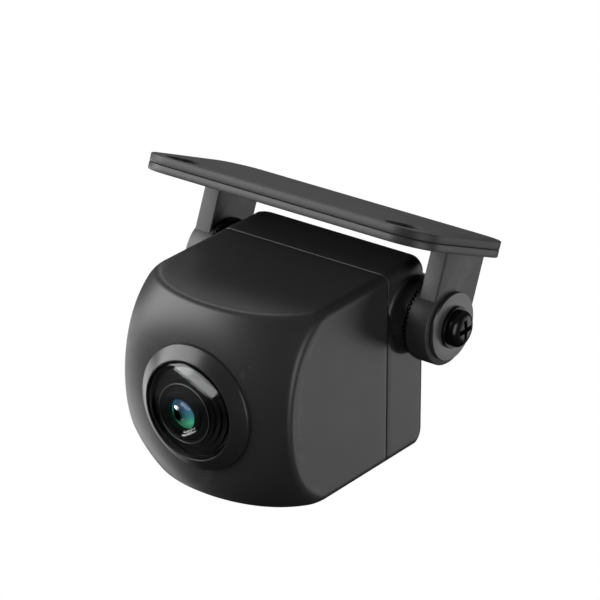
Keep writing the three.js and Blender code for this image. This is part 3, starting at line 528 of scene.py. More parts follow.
FILTER = plastic("cyan_filter", (0.05, 0.3, 0.34), (0.06, 0.34, 0.38), 0.08, depth=0.002, edge_highlight=0.0)
CIRCUIT = circuit_board("green_circuit")
CHIP = plastic("moulded_chip", (0.012, 0.012, 0.012), (0.02, 0.02, 0.02), 0.5, grain=7000.0, edge_highlight=0.1)
NYLON = plastic("natural_nylon", (0.6, 0.57, 0.48), (0.7, 0.67, 0.58), 0.45, edge_highlight=0.0)

SLOT_MATERIALS = {
    "bracket_plastic": BRACKET_PLASTIC, "housing_plastic": HOUSING, "bezel_plastic": BEZEL,
    "barrel_plastic": BARREL, "pad_foam": FOAM, "seal_rubber": RUBBER, "black_steel": BLACK_STEEL,
    "washer_steel": WASHER, "screw_steel": ZINC, "brass": BRASS, "lens_glass": GLASS,
    "coated_glass": COATED, "filter_glass": FILTER, "circuit_board": CIRCUIT, "chip_plastic": CHIP,
    "socket_plastic": NYLON,
}

for part in frame["record"]["subparts"]:
    node = frame["nodes"][part["node"]]
    node.data.materials.clear()
    node.data.materials.append(SLOT_MATERIALS[part["material_slot"]])

# ---- Housing ------------------------------------------------------------------------------


def dome_height(radius, inset=0.0):
    """How far in front of the seam the dome stands at a distance from the lens axis."""
    share = np.clip(radius / (DOME_RADIUS - inset), 0, 1) ** DOME_POWER
    return SHOULDER + (DOME_LENGTH - inset) * (1 - share) ** (1 / DOME_POWER)


def housing_field(p):
    """Below zero inside the housing: the rounded block and the dome with a fillet between."""
    x, y, z = p[:, 0], p[:, 1], p[:, 2]
    qx = np.abs(x) - HEAD_WIDTH / 2 + HEAD_CORNER
    qz = np.abs(z) - HEAD_HEIGHT / 2 + HEAD_CORNER
    block = np.hypot(np.maximum(qx, 0), np.maximum(qz, 0)) + np.minimum(np.maximum(qx, qz), 0) - HEAD_CORNER
    ahead = np.maximum(-y - SHOULDER, 1e-6) / DOME_LENGTH
    out = np.maximum(np.hypot(x, z), 1e-6) / DOME_RADIUS
    total = (ahead ** DOME_POWER + out ** DOME_POWER) ** (1 / DOME_POWER)
    slope = np.hypot(ahead ** (DOME_POWER - 1) / DOME_LENGTH, out ** (DOME_POWER - 1) / DOME_RADIUS)
    slope = slope * total ** (1 - DOME_POWER)
    dome = (total - 1) / slope
    near = np.maximum(DOME_FILLET - np.abs(block - dome), 0) / DOME_FILLET
    return np.maximum(block, dome) + near * near * DOME_FILLET / 4


def settled(points):
    """Moves points along the field's slope until they lie on the housing's surface."""
    p = np.array(points, float)
    step = 1e-4
    for _ in range(8):
        value = housing_field(p)
        slope = np.stack([(housing_field(p + d) - housing_field(p - d)) / (2 * step)
                          for d in np.eye(3) * step], 1)
        p -= (value / np.maximum((slope ** 2).sum(1), 1e-9))[:, None] * slope
    return p


def front_housing_mesh():
    outline = np.array(rounded_outline(HEAD_WIDTH, HEAD_HEIGHT, HEAD_CORNER, 40, 12))
    inner = np.array(rounded_outline(HEAD_WIDTH - 2 * WALL, HEAD_HEIGHT - 2 * WALL, HEAD_CORNER, 40, 12))
    radius = np.hypot(outline[:, 0], outline[:, 1])
    direction = outline / radius[:, None]
    edge = dome_height(radius)
    bore = BEZEL_R + SEAT
    rings = []

    def ring(xz, along):
        rings.append(np.stack([xz[:, 0], along * np.ones(len(xz)), xz[:, 1]], 1))

    seam = -SEAM / 2
    for k in range(5):                                  # small round at the seam
        a = math.pi / 2 * k / 4
        inset = SEAM_EDGE * (1 - math.sin(a))
        ring(outline - direction * inset, seam - SEAM_EDGE * (1 - math.cos(a)))
    for t in np.linspace(0, 1, 28)[1:]:                 # straight sides
        ring(outline, seam - SEAM_EDGE - t * (edge - 1.6 + seam))
    first_soft = len(rings)
    for t in np.linspace(0, 1, 14)[1:]:                 # up to the edge of the dome
        ring(outline, -(edge - 1.6 + 1.6 * t))
    for t in np.linspace(0, 1, 70)[1:]:                 # over the dome to the bezel's seat
        bend = t ** 1.25
        r = radius * (1 - bend) + bore * bend
        rings.append(np.stack([direction[:, 0] * r, -dome_height(r), direction[:, 1] * r], 1))
    soft = np.concatenate(rings[first_soft:-1])
    soft = settled(soft).reshape(-1, len(outline), 3)
    rings[first_soft:-1] = list(soft)
    circle = direction * bore
    ring(direction * (bore + 0.02), rings[-1][:, 1].mean() + 0.12)
    ring(circle, BEZEL_BASE + SEAT)
    ring(direction * HOUSING_BORE_R, BEZEL_BASE + SEAT)
    ring(direction * HOUSING_BORE_R, -19.4)
    inner_r = np.hypot(inner[:, 0], inner[:, 1])
    for t in np.linspace(0, 1, 10)[1:]:                 # inner face of the dome
        r = HOUSING_BORE_R * (1 - t) + np.minimum(inner_r, 15.5) * t
        rings.append(np.stack([direction[:, 0] * r, -dome_height(r, WALL), direction[:, 1] * r], 1))
    ring(inner, -8.0)
    ring(inner, seam)
    return rings_mesh([[tuple(p) for p in r] for r in rings], TO_HEAD, closed=True)


def cover_shell_mesh():
    """The rear cover's cup, before its bosses are joined and its holes are cut."""
    rings = []

    def ring(inset, along, rounder=0.0):
        corner = max(HEAD_CORNER - inset, 0.12) + rounder
        outline = rounded_outline(HEAD_WIDTH - 2 * inset, HEAD_HEIGHT - 2 * inset, corner, 24, 8)
        rings.append([(x, along, z) for x, z in outline])

    ring(WALL, COVER_DEPTH - WALL)
    ring(WALL, SEAM / 2)
    for k in range(5):
        a = math.pi / 2 * k / 4
        ring(SEAM_EDGE * (1 - math.sin(a)), SEAM / 2 + SEAM_EDGE * (1 - math.cos(a)))
    straight = COVER_DEPTH - COVER_EDGE_LENGTH
    for t in np.linspace(0, 1, 9)[1:]:
        ring(0, SEAM / 2 + SEAM_EDGE + t * (straight - SEAM / 2 - SEAM_EDGE))
    for k in range(1, 13):
        a = math.pi / 2 * k / 12
        ring(COVER_EDGE * (1 - math.cos(a)), straight + COVER_EDGE_LENGTH * math.sin(a),
             REAR_CORNER * math.sin(a))
    return rings_mesh(rings, TO_HEAD)


def boss_mesh(side):
    """Round boss with a flared root, and a bore for the threaded insert."""
    wall = HEAD_WIDTH / 2
    face = BOSS_FACE
    profile = [(SHANK_R + 0.8, wall - 2.4), (BOSS_R + BOSS_ROOT, wall - 0.6), (BOSS_R + BOSS_ROOT, wall)]
    for k in range(1, 11):
        a = math.pi / 2 * k / 10
        profile.append((BOSS_R + BOSS_ROOT * (1 - math.sin(a)), wall + BOSS_ROOT * (1 - math.cos(a))))
    profile += [(BOSS_R, face - 0.1), (BOSS_R - 0.08, face), (SHANK_R + 0.8, face)]
    mesh = turned(profile, HEAD_JOINT @ along_x(side), 96)
    shell = bmesh.new()
    shell.from_mesh(mesh)
    place = TO_HEAD @ Vector((0, SEAM / 2 + 0.02, 0)) * MM
    normal = TO_HEAD.to_3x3() @ Vector((0, -1, 0))
    cut = bmesh.ops.bisect_plane(shell, geom=shell.verts[:] + shell.edges[:] + shell.faces[:],
                                 plane_co=place, plane_no=normal, clear_outer=True)
    open_edges = [e for e in cut["geom_cut"] if isinstance(e, bmesh.types.BMEdge)]
    bmesh.ops.holes_fill(shell, edges=open_edges)
    bmesh.ops.recalc_face_normals(shell, faces=shell.faces)
    shell.to_mesh(mesh)
    shell.free()
    return mesh


def rear_cover_mesh():
    mesh = combined(cover_shell_mesh(), [boss_mesh(side) for _, side in SIDES], "UNION")
    screw_x, screw_z = HEAD_WIDTH / 2 - COVER_SCREW_INSET, HEAD_HEIGHT / 2 - COVER_SCREW_INSET
    holes = []
    for _, sx, sz in CORNERS:
        place = TO_HEAD @ Matrix.Translation((sx * screw_x, 0, sz * screw_z))
        floor = COVER_DEPTH - 1.5
        bore, recess, mouth = COVER_SHANK_R + 0.12, COVER_HEAD_R + 0.12, COVER_HEAD_R + 0.25
        holes.append(turned([(0, floor - 3), (bore, floor - 3), (bore, floor), (recess, floor),
                             (recess, COVER_DEPTH - 0.1), (mouth, COVER_DEPTH + 0.05),
                             (mouth, COVER_DEPTH + 2), (0, COVER_DEPTH + 2)], place, 48))
    holes.append(turned([(0, 2), (GLAND_HOLE_R, 2), (GLAND_HOLE_R, COVER_DEPTH + 2),
                         (0, COVER_DEPTH + 2)], GLAND_PLACE, 64))
    return combined(mesh, holes, "DIFFERENCE")


finish_piece(front_housing_mesh(), "front_housing_shell", HEAD, "housing_plastic", ["front_housing"])
finish_piece(rear_cover_mesh(), "rear_cover_shell", HEAD, "housing_plastic", ["rear_cover"])

# ---- Lens ---------------------------------------------------------------------------------


def arc(half_width, rim, rise, steps, inwards=True):
    """(radius, along) points of a lens face that rises towards -Y."""
    radius = (half_width ** 2 + rise ** 2) / (2 * rise)
    points = []
    for k in range(steps + 1):
        out = half_width * k / steps
        points.append((out, rim - (math.sqrt(radius ** 2 - out ** 2) - (radius - rise))))
    return points[::-1] if inwards else points


def lens_bezel_mesh():
    bore = GLASS_R + 0.12
    stem = bore + 0.5
    outline = [(bore, BEZEL_TOP), (bore + 0.25, BEZEL_TOP), (BEZEL_R, BEZEL_TOP + BEZEL_CONE),
               (BEZEL_R, BEZEL_BASE), (stem, BEZEL_BASE), (stem, BEZEL_REAR), (bore, BEZEL_REAR)]
    return turned(softened(outline, 0.14), TO_HEAD, 160)


def front_glass_mesh():
    hollow_r = GLASS_R - GLASS_RIM
    outline = arc(GLASS_R - 0.12, GLASS_EDGE_FRONT - 0.06, GLASS_SAG - 0.06, 40, False)
    outline += [(GLASS_R, GLASS_EDGE_FRONT + 0.1), (GLASS_R, GLASS_EDGE_REAR), (hollow_r, GLASS_EDGE_REAR)]
    outline += arc(hollow_r, GLASS_EDGE_FRONT + GLASS_THICK, GLASS_SAG, 40)
    return turned(outline, TO_HEAD, 160)


def lens_barrel_mesh():
    """Stepped, ringed nose behind the front glass, and the plain barrel behind it."""
    hollow_r = GLASS_R - GLASS_RIM
    outline = [(NOSE_BORE_R, NOSE_FRONT)]
    steps = []
    for k in range(3):
        radius = hollow_r - 0.24 - k * 0.6
        low, high = BARREL_FRONT - k * NOSE_STEP, BARREL_FRONT - (k + 1) * NOSE_STEP
        steps = [(radius, high), (radius, low)] + steps
    floor = NOSE_FRONT + 6.4
    outline += steps + [(FLANGE_R, BARREL_FRONT), (FLANGE_R, BARREL_FRONT + 1.4),
                        (BARREL_R, BARREL_FRONT + 1.4), (BARREL_R, BARREL_REAR), (2.9, BARREL_REAR),
                        (2.9, floor), (NOSE_BORE_R, floor)]
    return turned(softened(outline, 0.09, 3), TO_HEAD, 128)


def retaining_ring_mesh():
    """Black cap round the coated element; the thin bright line on its outer edge is a painted highlight, laid on
    as a separate ring.
    """
    base = NOSE_FRONT - SEAT
    outline = [(2.1, base - 0.95), (2.45, base - 0.9), (2.9, base - 0.76), (2.95, base - 0.6),
               (3.35, base - 0.46), (3.4, base - 0.52), (3.86, base - 0.37), (4.05, base - 0.2),
               (4.05, base), (2.1, base)]
    return turned(softened(outline, 0.05, 3), TO_HEAD, 128)


def highlight_ring_mesh():
    """A painted highlight on the cap's edge: a narrow bright ring that lies on it."""
    base = NOSE_FRONT - SEAT
    section = [(3.93 + 0.05 * math.cos(a), base - 0.36 + 0.05 * math.sin(a))
               for a in (2 * math.pi * k / 12 for k in range(12))]
    return turned(section, TO_HEAD, 128)


def inner_lens_mesh():
    outline = arc(2.0, NOSE_FRONT + SEAT, 1.3, 24, False)
    rim, rear = NOSE_FRONT + SEAT, NOSE_FRONT + SEAT + 1.3
    outline += [(NOSE_BORE_R - SEAT, rim), (NOSE_BORE_R - SEAT, rear), (1.9, rear), (0, rear - 0.4)]
    return turned(outline, TO_HEAD, 96)


finish_piece(lens_bezel_mesh(), "lens_bezel_ring", HEAD, "bezel_plastic", ["lens_bezel"])
FRONT_GLASS = finish_piece(front_glass_mesh(), "front_glass_dome", HEAD, "lens_glass",
                           ["front_glass"], 50)
finish_piece(lens_barrel_mesh(), "lens_barrel_body", HEAD, "barrel_plastic", ["lens_barrel"])
finish_piece(retaining_ring_mesh(), "retaining_cap", HEAD, "barrel_plastic", ["retaining_ring"])
# A bright ring on the cap's edge: a painted highlight.
finish_piece(highlight_ring_mesh(), "retaining_cap_highlight_ring", HEAD, "screw_steel")
finish_piece(inner_lens_mesh(), "inner_lens_element", HEAD, "coated_glass", ["inner_lens"])

# ---- Cable gland --------------------------------------------------------------------------


def cable_gland_mesh():
    inside, outside = COVER_DEPTH - WALL - SEAT, COVER_DEPTH + SEAT
    outline = [(1.6, inside - 0.9), (3.7, inside - 0.9), (3.7, inside), (2.9, inside), (2.9, outside),
               (4.0, outside), (4.0, outside + 0.9), (3.1, outside + 1.1)]
    for k in range(2):
        base = outside + 1.15 + k * 0.45
        outline += [(3.1, base), (2.85, base + 0.1), (2.85, base + 0.25), (3.05, base + 0.35)]
    outline += [(2.8, outside + 2.2), (1.6, outside + 2.2)]
    return turned(softened(outline, 0.12, 3), GLAND_PLACE, 96)


finish_piece(cable_gland_mesh(), "cable_gland_boot", HEAD, "seal_rubber", ["cable_gland"])

# ---- Bracket and pad ----------------------------------------------------------------------


def slab_mesh(low, high, edge):
    """A flat slab with the plate's outline and a small round on its edges."""
    rings = []
    for inset, height in ((edge, low), (edge * 0.3, low + edge * 0.3), (0, low + edge),
                          (0, high - edge), (edge * 0.3, high - edge * 0.3), (edge, high)):
        length, depth = PLATE_LENGTH - 2 * inset, PLATE_DEPTH - 2 * inset
        outline = rounded_outline(length, depth, PLATE_CORNER - inset, 12, 16)
        rings.append([(x, y, height) for x, y in outline])
    return rings_mesh(rings)


def arm_mesh(side):
    middle = side * (ARM_INNER + ARM_OUTER) / 2
    outline = rounded_outline(ARM_OUTER - ARM_INNER, ARM_WIDTH, 0.22, 2, 5)
    rings = [[(middle + x, HINGE.y + y, height) for x, y in outline]
             for height in (HINGE.z, -PAD_THICK - SEAT - PLATE_THICK / 2)]
    return rings_mesh(rings)


def ear_mesh(side):
    inner = EAR_FACE
    outline = [(0.8, inner), (EAR_R - 0.1, inner), (EAR_R, inner + 0.1), (EAR_R, ARM_OUTER - 0.14),
               (EAR_R - 0.05, ARM_OUTER - 0.05), (EAR_R - 0.14, ARM_OUTER), (0.8, ARM_OUTER)]
    return turned(outline, TO_HINGE @ along_x(side), 128)


def plate_hole(side, profile):
    """A cutter for a screw hole, upright in the plate at that side."""
    place = Matrix.Translation((side * PLATE_HOLE_X, PLATE_HOLE_Y, 0))
    return turned(profile, place @ Matrix.Rotation(math.pi / 2, 4, "X"), 64)


def bracket_mesh():
    top = -PAD_THICK - SEAT
    bottom = top - PLATE_THICK
    joined = []
    cut = []
    for _, side in SIDES:
        joined += [arm_mesh(side), ear_mesh(side)]
        bore = [(0, 14), (EAR_BORE_R, 14), (EAR_BORE_R, 22), (0, 22)]
        cut.append(turned(bore, TO_HINGE @ along_x(side), 48))
        cut.append(plate_hole(side, [(0, bottom - 1), (PLATE_HOLE_R, bottom - 1),
                                     (PLATE_HOLE_R, bottom + 0.1), (PAD_HOLE_R, top + 0.02),
                                     (0, top + 0.02)]))
    return combined(combined(slab_mesh(bottom, top, 0.12), joined, "UNION"), cut, "DIFFERENCE")


def adhesive_pad_mesh():
    profile = [(0, -3), (PAD_HOLE_R, -3), (PAD_HOLE_R, 1), (0, 1)]
    return combined(slab_mesh(-PAD_THICK, 0, 0.1), [plate_hole(side, profile) for _, side in SIDES],
                    "DIFFERENCE")


finish_piece(bracket_mesh(), "bracket_body_moulding", BRACKET, "bracket_plastic", ["bracket"])
finish_piece(adhesive_pad_mesh(), "adhesive_pad_sheet", BRACKET, "pad_foam", ["adhesive_pad"])

# ---- Pivot screws and washers -------------------------------------------------------------

FLAT_BASE = ARM_OUTER + SEAT
LOCK_BASE = FLAT_BASE + FLAT_WASHER_THICK + SEAT
HEAD_BASE = LOCK_BASE + LOCK_WASHER_THICK + SEAT
HEAD_TOP = HEAD_BASE + PIVOT_HEAD_HEIGHT


def screw_crown(radius, start, top, steps):
    """(radius, along) points over a screw head's domed top, ending on the axis."""
    crown = []
    for k in range(steps):
        a = math.pi / 2 * k / steps
        crown.append((radius * math.cos(a) ** 0.7, start + (top - start) * math.sin(a)))
    return crown + [(0, top)]


def cross_cutters(span, slot, depth, top, matrix):
    """Two tapered bars that cut a cross recess into a screw head."""
    bars = []
    for turn in (0, math.pi / 2):
        rings = []
        for share, along in ((0.45, top - depth), (1.0, top + 0.2)):
            w, h = span * (0.55 + 0.45 * share) / 2, slot * (0.6 + 0.4 * share) / 2
            rings.append([(w, along, h), (-w, along, h), (-w, along, -h), (w, along, -h)])
        bars.append(rings_mesh(rings, matrix @ Matrix.Rotation(turn, 4, "Y")))
    return bars


def pivot_screw_mesh(side):
    matrix = TO_HINGE @ along_x(side) @ Matrix.Rotation(math.radians(24), 4, "Y")
    tip = HEAD_BASE - 7.8
    outline = [(0, tip), (SHANK_R - 0.3, tip), (SHANK_R, tip + 0.4)]
    for k in range(14):
        along = tip + 0.5 + k * 0.4
        outline += [(SHANK_R, along), (SHANK_R - 0.16, along + 0.2)]
    outline += [(SHANK_R, HEAD_BASE - 0.6), (SHANK_R, HEAD_BASE), (PIVOT_HEAD_R - 0.08, HEAD_BASE),
                (PIVOT_HEAD_R, HEAD_BASE + 0.1)]
    outline += screw_crown(PIVOT_HEAD_R, HEAD_BASE + 0.4, HEAD_TOP, 10)
    cutters = cross_cutters(2.9, 0.7, 0.9, HEAD_TOP, matrix)
    return combined(turned(outline, matrix, 64), cutters, "DIFFERENCE")


def flat_washer_mesh(side):
    top = FLAT_BASE + FLAT_WASHER_THICK
    outline = [(WASHER_BORE_R, FLAT_BASE), (FLAT_WASHER_R, FLAT_BASE), (FLAT_WASHER_R, top),
               (WASHER_BORE_R, top)]
    return turned(softened(outline, 0.07, 3), TO_HINGE @ along_x(side), 96)


def lock_washer_mesh(side):
    """A split spring washer: its two ends stand a little apart along the screw."""
    rise = LOCK_WASHER_THICK - 0.12
    section = softened([(WASHER_BORE_R, 0.06), (LOCK_WASHER_R, 0.06), (LOCK_WASHER_R, rise),
                        (WASHER_BORE_R, rise)], 0.1, 3)
    matrix = TO_HINGE @ along_x(side) @ Matrix.Rotation(math.radians(150), 4, "Y")
    rings = []
    for k in range(73):
        a = math.radians(7) + math.radians(346) * k / 72
        lift = 0.1 * (k / 72 - 0.5)
        rings.append([(r * math.cos(a), LOCK_BASE + 0.03 + y + lift, r * math.sin(a)) for r, y in section])
    return rings_mesh(rings, matrix)


for name, side in SIDES:
    for mesh, part, ending, slot in (
            (flat_washer_mesh(side), "flat_washer", "disc", "washer_steel"),
            (lock_washer_mesh(side), "lock_washer", "coil", "black_steel"),
            (pivot_screw_mesh(side), "pivot_screw", "threaded", "black_steel")):
        finish_piece(mesh, f"{part}_{name}_{ending}", BRACKET, slot, [f"{part}_{name}"])

# ---- Geometry Nodes: serrations and cover screws ------------------------------------------


def geometry_tree(name, inputs):
    tree = bpy.data.node_groups.new(name, "GeometryNodeTree")
    tree.interface.new_socket(name="Geometry", in_out="INPUT", socket_type="NodeSocketGeometry")
    for label, kind, value in inputs:
        socket = tree.interface.new_socket(name=label, in_out="INPUT", socket_type=kind)
        socket.default_value = value
    tree.interface.new_socket(name="Geometry", in_out="OUTPUT", socket_type="NodeSocketGeometry")
    return tree, tree.nodes.new("NodeGroupInput"), tree.nodes.new("NodeGroupOutput")


def end_tree(tree, geometry, material, sink):
    realize = add_node(tree, "GeometryNodeRealizeInstances", {"Geometry": geometry})
    paint = add_node(tree, "GeometryNodeSetMaterial", {
        "Geometry": realize.outputs["Geometry"], "Material": material})
    tree.links.new(paint.outputs["Geometry"], sink.inputs["Geometry"])


def grown(tree, mesh, values):
    """Runs a geometry tree on a mesh with the named values and returns the plain result."""
    carrier = piece_from(mesh, "carrier")
    modifier = carrier.modifiers.new("grow", "NODES")
    modifier.node_group = tree
    for item in tree.interface.items_tree:
        if item.item_type == "SOCKET" and item.in_out == "INPUT" and item.name in values:
            modifier[item.identifier] = values[item.name]
    result = evaluated_mesh(carrier)
    bpy.data.objects.remove(carrier)
    return result


def serration_tree(material):
    """Wedge-shaped teeth stood round a ring about Z, their ridges pointing along +Z."""
    tree, source, sink = geometry_tree("serration_ring", [
        ("Teeth", "NodeSocketInt", TOOTH_COUNT), ("Middle Radius", "NodeSocketFloat", 4 * MM),
        ("Tooth Length", "NodeSocketFloat", 2 * MM), ("Tooth Size", "NodeSocketFloat", 0.3 * MM)])
    size, length = source.outputs["Tooth Size"], source.outputs["Tooth Length"]
    circle = add_node(tree, "GeometryNodeMeshCircle", {
        "Vertices": source.outputs["Teeth"], "Radius": source.outputs["Middle Radius"]})
    wedge = add_node(tree, "GeometryNodeMeshCone", {
        "Vertices": 3, "Radius Top": size, "Radius Bottom": size, "Depth": length})
    lay = add_node(tree, "GeometryNodeTransform", {
        "Rotation": (0, -math.pi / 2, 0), "Geometry": wedge.outputs["Mesh"]})
    shift = add_node(tree, "ShaderNodeCombineXYZ", {0: math_node(tree, "MULTIPLY", length)})
    centre = add_node(tree, "GeometryNodeTransform", {
        "Translation": shift.outputs[0], "Geometry": lay.outputs["Geometry"]})
    position = add_node(tree, "GeometryNodeInputPosition")
    turn = add_node(tree, "FunctionNodeAlignEulerToVector", {"Vector": position.outputs[0]})
    turn.axis = "X"
    spread = add_node(tree, "GeometryNodeInstanceOnPoints", {
        "Points": circle.outputs["Mesh"], "Instance": centre.outputs["Geometry"],
        "Rotation": turn.outputs[0]})
    end_tree(tree, spread.outputs["Instances"], material, sink)
    return tree


def serrations(tree, outer_r, matrix, face):
    """The teeth of one joint face, laid on it at `face` along the hinge axis."""
    length = outer_r - SERRATION_INNER_R
    mesh = grown(tree, bpy.data.meshes.new("empty"), {
        "Teeth": TOOTH_COUNT, "Middle Radius": (SERRATION_INNER_R + length / 2) * MM,
        "Tooth Length": length * MM, "Tooth Size": TOOTH_SIZE * MM})
    lift = Matrix.Translation((0, 0, (face + 0.06) * MM))
    scaled = Matrix.Translation(matrix.to_translation() * MM) @ matrix.to_3x3().to_4x4()
    mesh.transform(scaled @ lift)
    return mesh


def z_to_side(side):
    return Matrix.Rotation(side * math.pi / 2, 4, "Y")


head_teeth_tree = serration_tree(HOUSING)
ear_teeth_tree = serration_tree(BRACKET_PLASTIC)
for name, side in SIDES:
    boss_teeth = serrations(head_teeth_tree, BOSS_R - 0.02, HEAD_JOINT @ z_to_side(side), BOSS_FACE)
    finish_piece(boss_teeth, f"boss_serrations_{name}", HEAD, "housing_plastic", (), 20)
    ear_teeth = serrations(ear_teeth_tree, EAR_R - 0.05, TO_HINGE @ z_to_side(-side), -EAR_FACE)
    finish_piece(ear_teeth, f"ear_serrations_{name}", BRACKET, "bracket_plastic", (), 20)


def cover_screw_tree(material):
    """Sets the screw that comes in on the four corners of a rectangle in X and Z."""
    tree, source, sink = geometry_tree("corner_screws", [
        ("Spacing X", "NodeSocketFloat", 19 * MM), ("Spacing Z", "NodeSocketFloat", 19 * MM)])
    grid = add_node(tree, "GeometryNodeMeshGrid", {
        "Vertices X": 2, "Vertices Y": 2, "Size X": source.outputs["Spacing X"],
        "Size Y": source.outputs["Spacing Z"]})
    stand = add_node(tree, "GeometryNodeTransform", {
        "Rotation": (math.pi / 2, 0, 0), "Geometry": grid.outputs["Mesh"]})
    number = add_node(tree, "GeometryNodeInputIndex")
    angle = math_node(tree, "MULTIPLY", number.outputs[0], 0.7)
    turn = add_node(tree, "ShaderNodeCombineXYZ", {1: angle})
    spread = add_node(tree, "GeometryNodeInstanceOnPoints", {
        "Points": stand.outputs["Geometry"], "Instance": source.outputs["Geometry"],
        "Rotation": turn.outputs[0]})
    end_tree(tree, spread.outputs["Instances"], material, sink)
    return tree


def cover_screw_mesh():
    base = COVER_DEPTH - 1.45
    tip = -6.5
    top = base + COVER_HEAD_HEIGHT
    outline = [(0, tip), (0.5, tip), (COVER_SHANK_R, tip + 0.35), (COVER_SHANK_R, base),
               (COVER_HEAD_R - 0.08, base), (COVER_HEAD_R, base + 0.08)]
    outline += screw_crown(COVER_HEAD_R, base + 0.35, top, 8)
    cutters = cross_cutters(1.8, 0.4, 0.6, top, UPRIGHT)
    return combined(turned(outline, UPRIGHT, 40), cutters, "DIFFERENCE")


screws = grown(cover_screw_tree(BLACK_STEEL), cover_screw_mesh(), {
    "Spacing X": (HEAD_WIDTH - 2 * COVER_SCREW_INSET) * MM,
    "Spacing Z": (HEAD_HEIGHT - 2 * COVER_SCREW_INSET) * MM})
screws.transform(Matrix.Translation(TO_HEAD.to_translation() * MM) @ TO_HEAD.to_3x3().to_4x4())
finish_piece(screws, "cover_screw_set", HEAD, "black_steel",
             [f"cover_screw_{name}" for name, _, _ in CORNERS])

# ---- Stage, light and camera --------------------------------------------------------------

TARGET = Vector((0.97, -1.43, -13.5)) * MM
CAMERA_DISTANCE = 465 * MM
CAMERA_AZIMUTH = math.radians(33.46)
CAMERA_ELEVATION = math.radians(6.07)
CAMERA_ROLL = math.radians(13.5)
FOCAL_LENGTH = 218.89
FLOOR_DROP = 0.55


def direction(azimuth, elevation):
    """Unit vector from the object towards a place, azimuth 0 in front of it, 90 at its right."""
    a, e = math.radians(azimuth), math.radians(elevation)
    return Vector((math.sin(a) * math.cos(e), -math.cos(a) * math.cos(e), math.sin(e)))


def stage_material():
    """Pale where the camera sees it, and dim in reflections, as a floor far below would be."""
    material = bpy.data.materials.new("pale_stage")
    material.use_nodes = True
    tree = material.node_tree
    tree.nodes.clear()
    seen = add_node(tree, "ShaderNodeEmission", {"Color": rgb(1.0, 1.0, 1.0), "Strength": 1.0})
    unseen = add_node(tree, "ShaderNodeBsdfDiffuse", {"Color": rgb(0.35, 0.35, 0.35)})
    path = add_node(tree, "ShaderNodeLightPath")
    mix = add_node(tree, "ShaderNodeMixShader", {
        0: path.outputs["Is Camera Ray"], 1: unseen.outputs[0], 2: seen.outputs[0]})
    add_node(tree, "ShaderNodeOutputMaterial", {"Surface": mix.outputs[0]})
    return material


def make_stage():
    """A round floor that sweeps up into a wall, with no corner to show."""
    rings = []
    for k in range(25):
        a = math.pi / 2 * k / 24
        radius, height = 1.6 + 0.9 * math.sin(a), -FLOOR_DROP + 0.9 * (1 - math.cos(a))
        rings.append([(radius * math.cos(b), radius * math.sin(b), height)
                      for b in (2 * math.pi * i / 96 for i in range(96))])
    top = [(x, y, 2.4) for x, y, _ in rings[-1]]
    rings.append(top)
    points = [p for ring in rings for p in ring]
    faces = [tuple(range(96))]
    for k in range(len(rings) - 1):
        for i in range(96):
            j = (i + 1) % 96
            faces.append((k * 96 + i, k * 96 + j, k * 96 + 96 + j, k * 96 + 96 + i))
    mesh = bpy.data.meshes.new("stage")
    mesh.from_pydata(points, [], faces)
    mesh.materials.append(stage_material())
    mesh.shade_smooth()
    piece_from(mesh, "stage")


def add_softbox(name, azimuth, elevation, distance, width, height, radiance, roll=0.0):
    """A rectangular soft light that faces the object. Its power follows from its radiance."""
    light = bpy.data.lights.new(name, "AREA")
    light.shape = "RECTANGLE"
    light.size, light.size_y = width, height
    light.energy = radiance * math.pi * width * height
    lamp = bpy.data.objects.new(name, light)
    bpy.context.scene.collection.objects.link(lamp)
    away = direction(azimuth, elevation)
    lamp.location = TARGET + away * distance
    level = away.to_track_quat("Z", "Y")
    lamp.rotation_euler = (level @ Matrix.Rotation(math.radians(roll), 3, "Z").to_quaternion()).to_euler()
    lamp.visible_camera = False
    return lamp


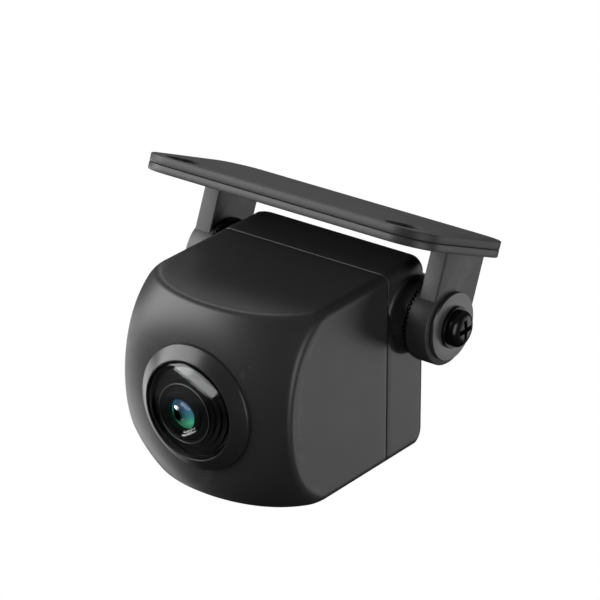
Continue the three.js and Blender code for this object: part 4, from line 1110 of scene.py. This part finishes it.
def link_light(lamp, state, pieces):
    """Keeps a light off some pieces, or keeps it for them alone."""
    chosen = bpy.data.collections.new(lamp.name + "_pieces")
    for piece in pieces:
        chosen.objects.link(piece)
    for entry in chosen.collection_objects:
        entry.light_linking.link_state = state
    lamp.light_linking.receiver_collection = chosen


def make_camera():
    lens = bpy.data.cameras.new("camera")
    lens.lens = FOCAL_LENGTH
    lens.sensor_width = 36.0
    lens.clip_start = 0.01
    lens.dof.use_dof = False
    viewer = bpy.data.objects.new("camera", lens)
    bpy.context.scene.collection.objects.link(viewer)
    away = direction(math.degrees(CAMERA_AZIMUTH), math.degrees(CAMERA_ELEVATION))
    viewer.location = TARGET + away * CAMERA_DISTANCE
    level = away.to_track_quat("Z", "Y")
    viewer.rotation_euler = (level @ Matrix.Rotation(CAMERA_ROLL, 3, "Z").to_quaternion()).to_euler()
    bpy.context.scene.camera = viewer


make_stage()
ROOM_LIGHTS = [
    add_softbox("key_left", -52, 8, 0.5, 0.56, 0.36, 5.4),
    add_softbox("low_left", -105, -25, 0.5, 0.36, 0.36, 1.9),
    add_softbox("right_side", 74, -4, 0.5, 0.28, 0.35, 3.2),
    add_softbox("fill_back_right", 147, 2, 0.6, 0.42, 0.36, 1.3),
    add_softbox("back_top", -132, 50, 0.6, 0.4, 0.34, 2.0),
]
LENS_LIGHTS = [
    add_softbox("lens_window_left", -54, 21, 0.5, 0.47, 0.16, 5.2),
    add_softbox("lens_window_right", 0, 11, 0.5, 0.53, 0.16, 3.0, -19.0),
    add_softbox("lens_strip", -42, -64, 0.5, 0.24, 0.02, 6.0),
    add_softbox("lens_spark", -41, -31, 0.5, 0.04, 0.04, 40.0),
]
for lamp in ROOM_LIGHTS:
    link_light(lamp, "EXCLUDE", [FRONT_GLASS])
for lamp in LENS_LIGHTS:
    link_light(lamp, "INCLUDE", [FRONT_GLASS])

world = bpy.data.worlds.new("studio")
bpy.context.scene.world = world
world.use_nodes = True
world.node_tree.nodes["Background"].inputs["Color"].default_value = rgb(0.15, 0.15, 0.15)
world.node_tree.nodes["Background"].inputs["Strength"].default_value = 1.0
bpy.context.scene.view_settings.view_transform = "Standard"
make_camera()
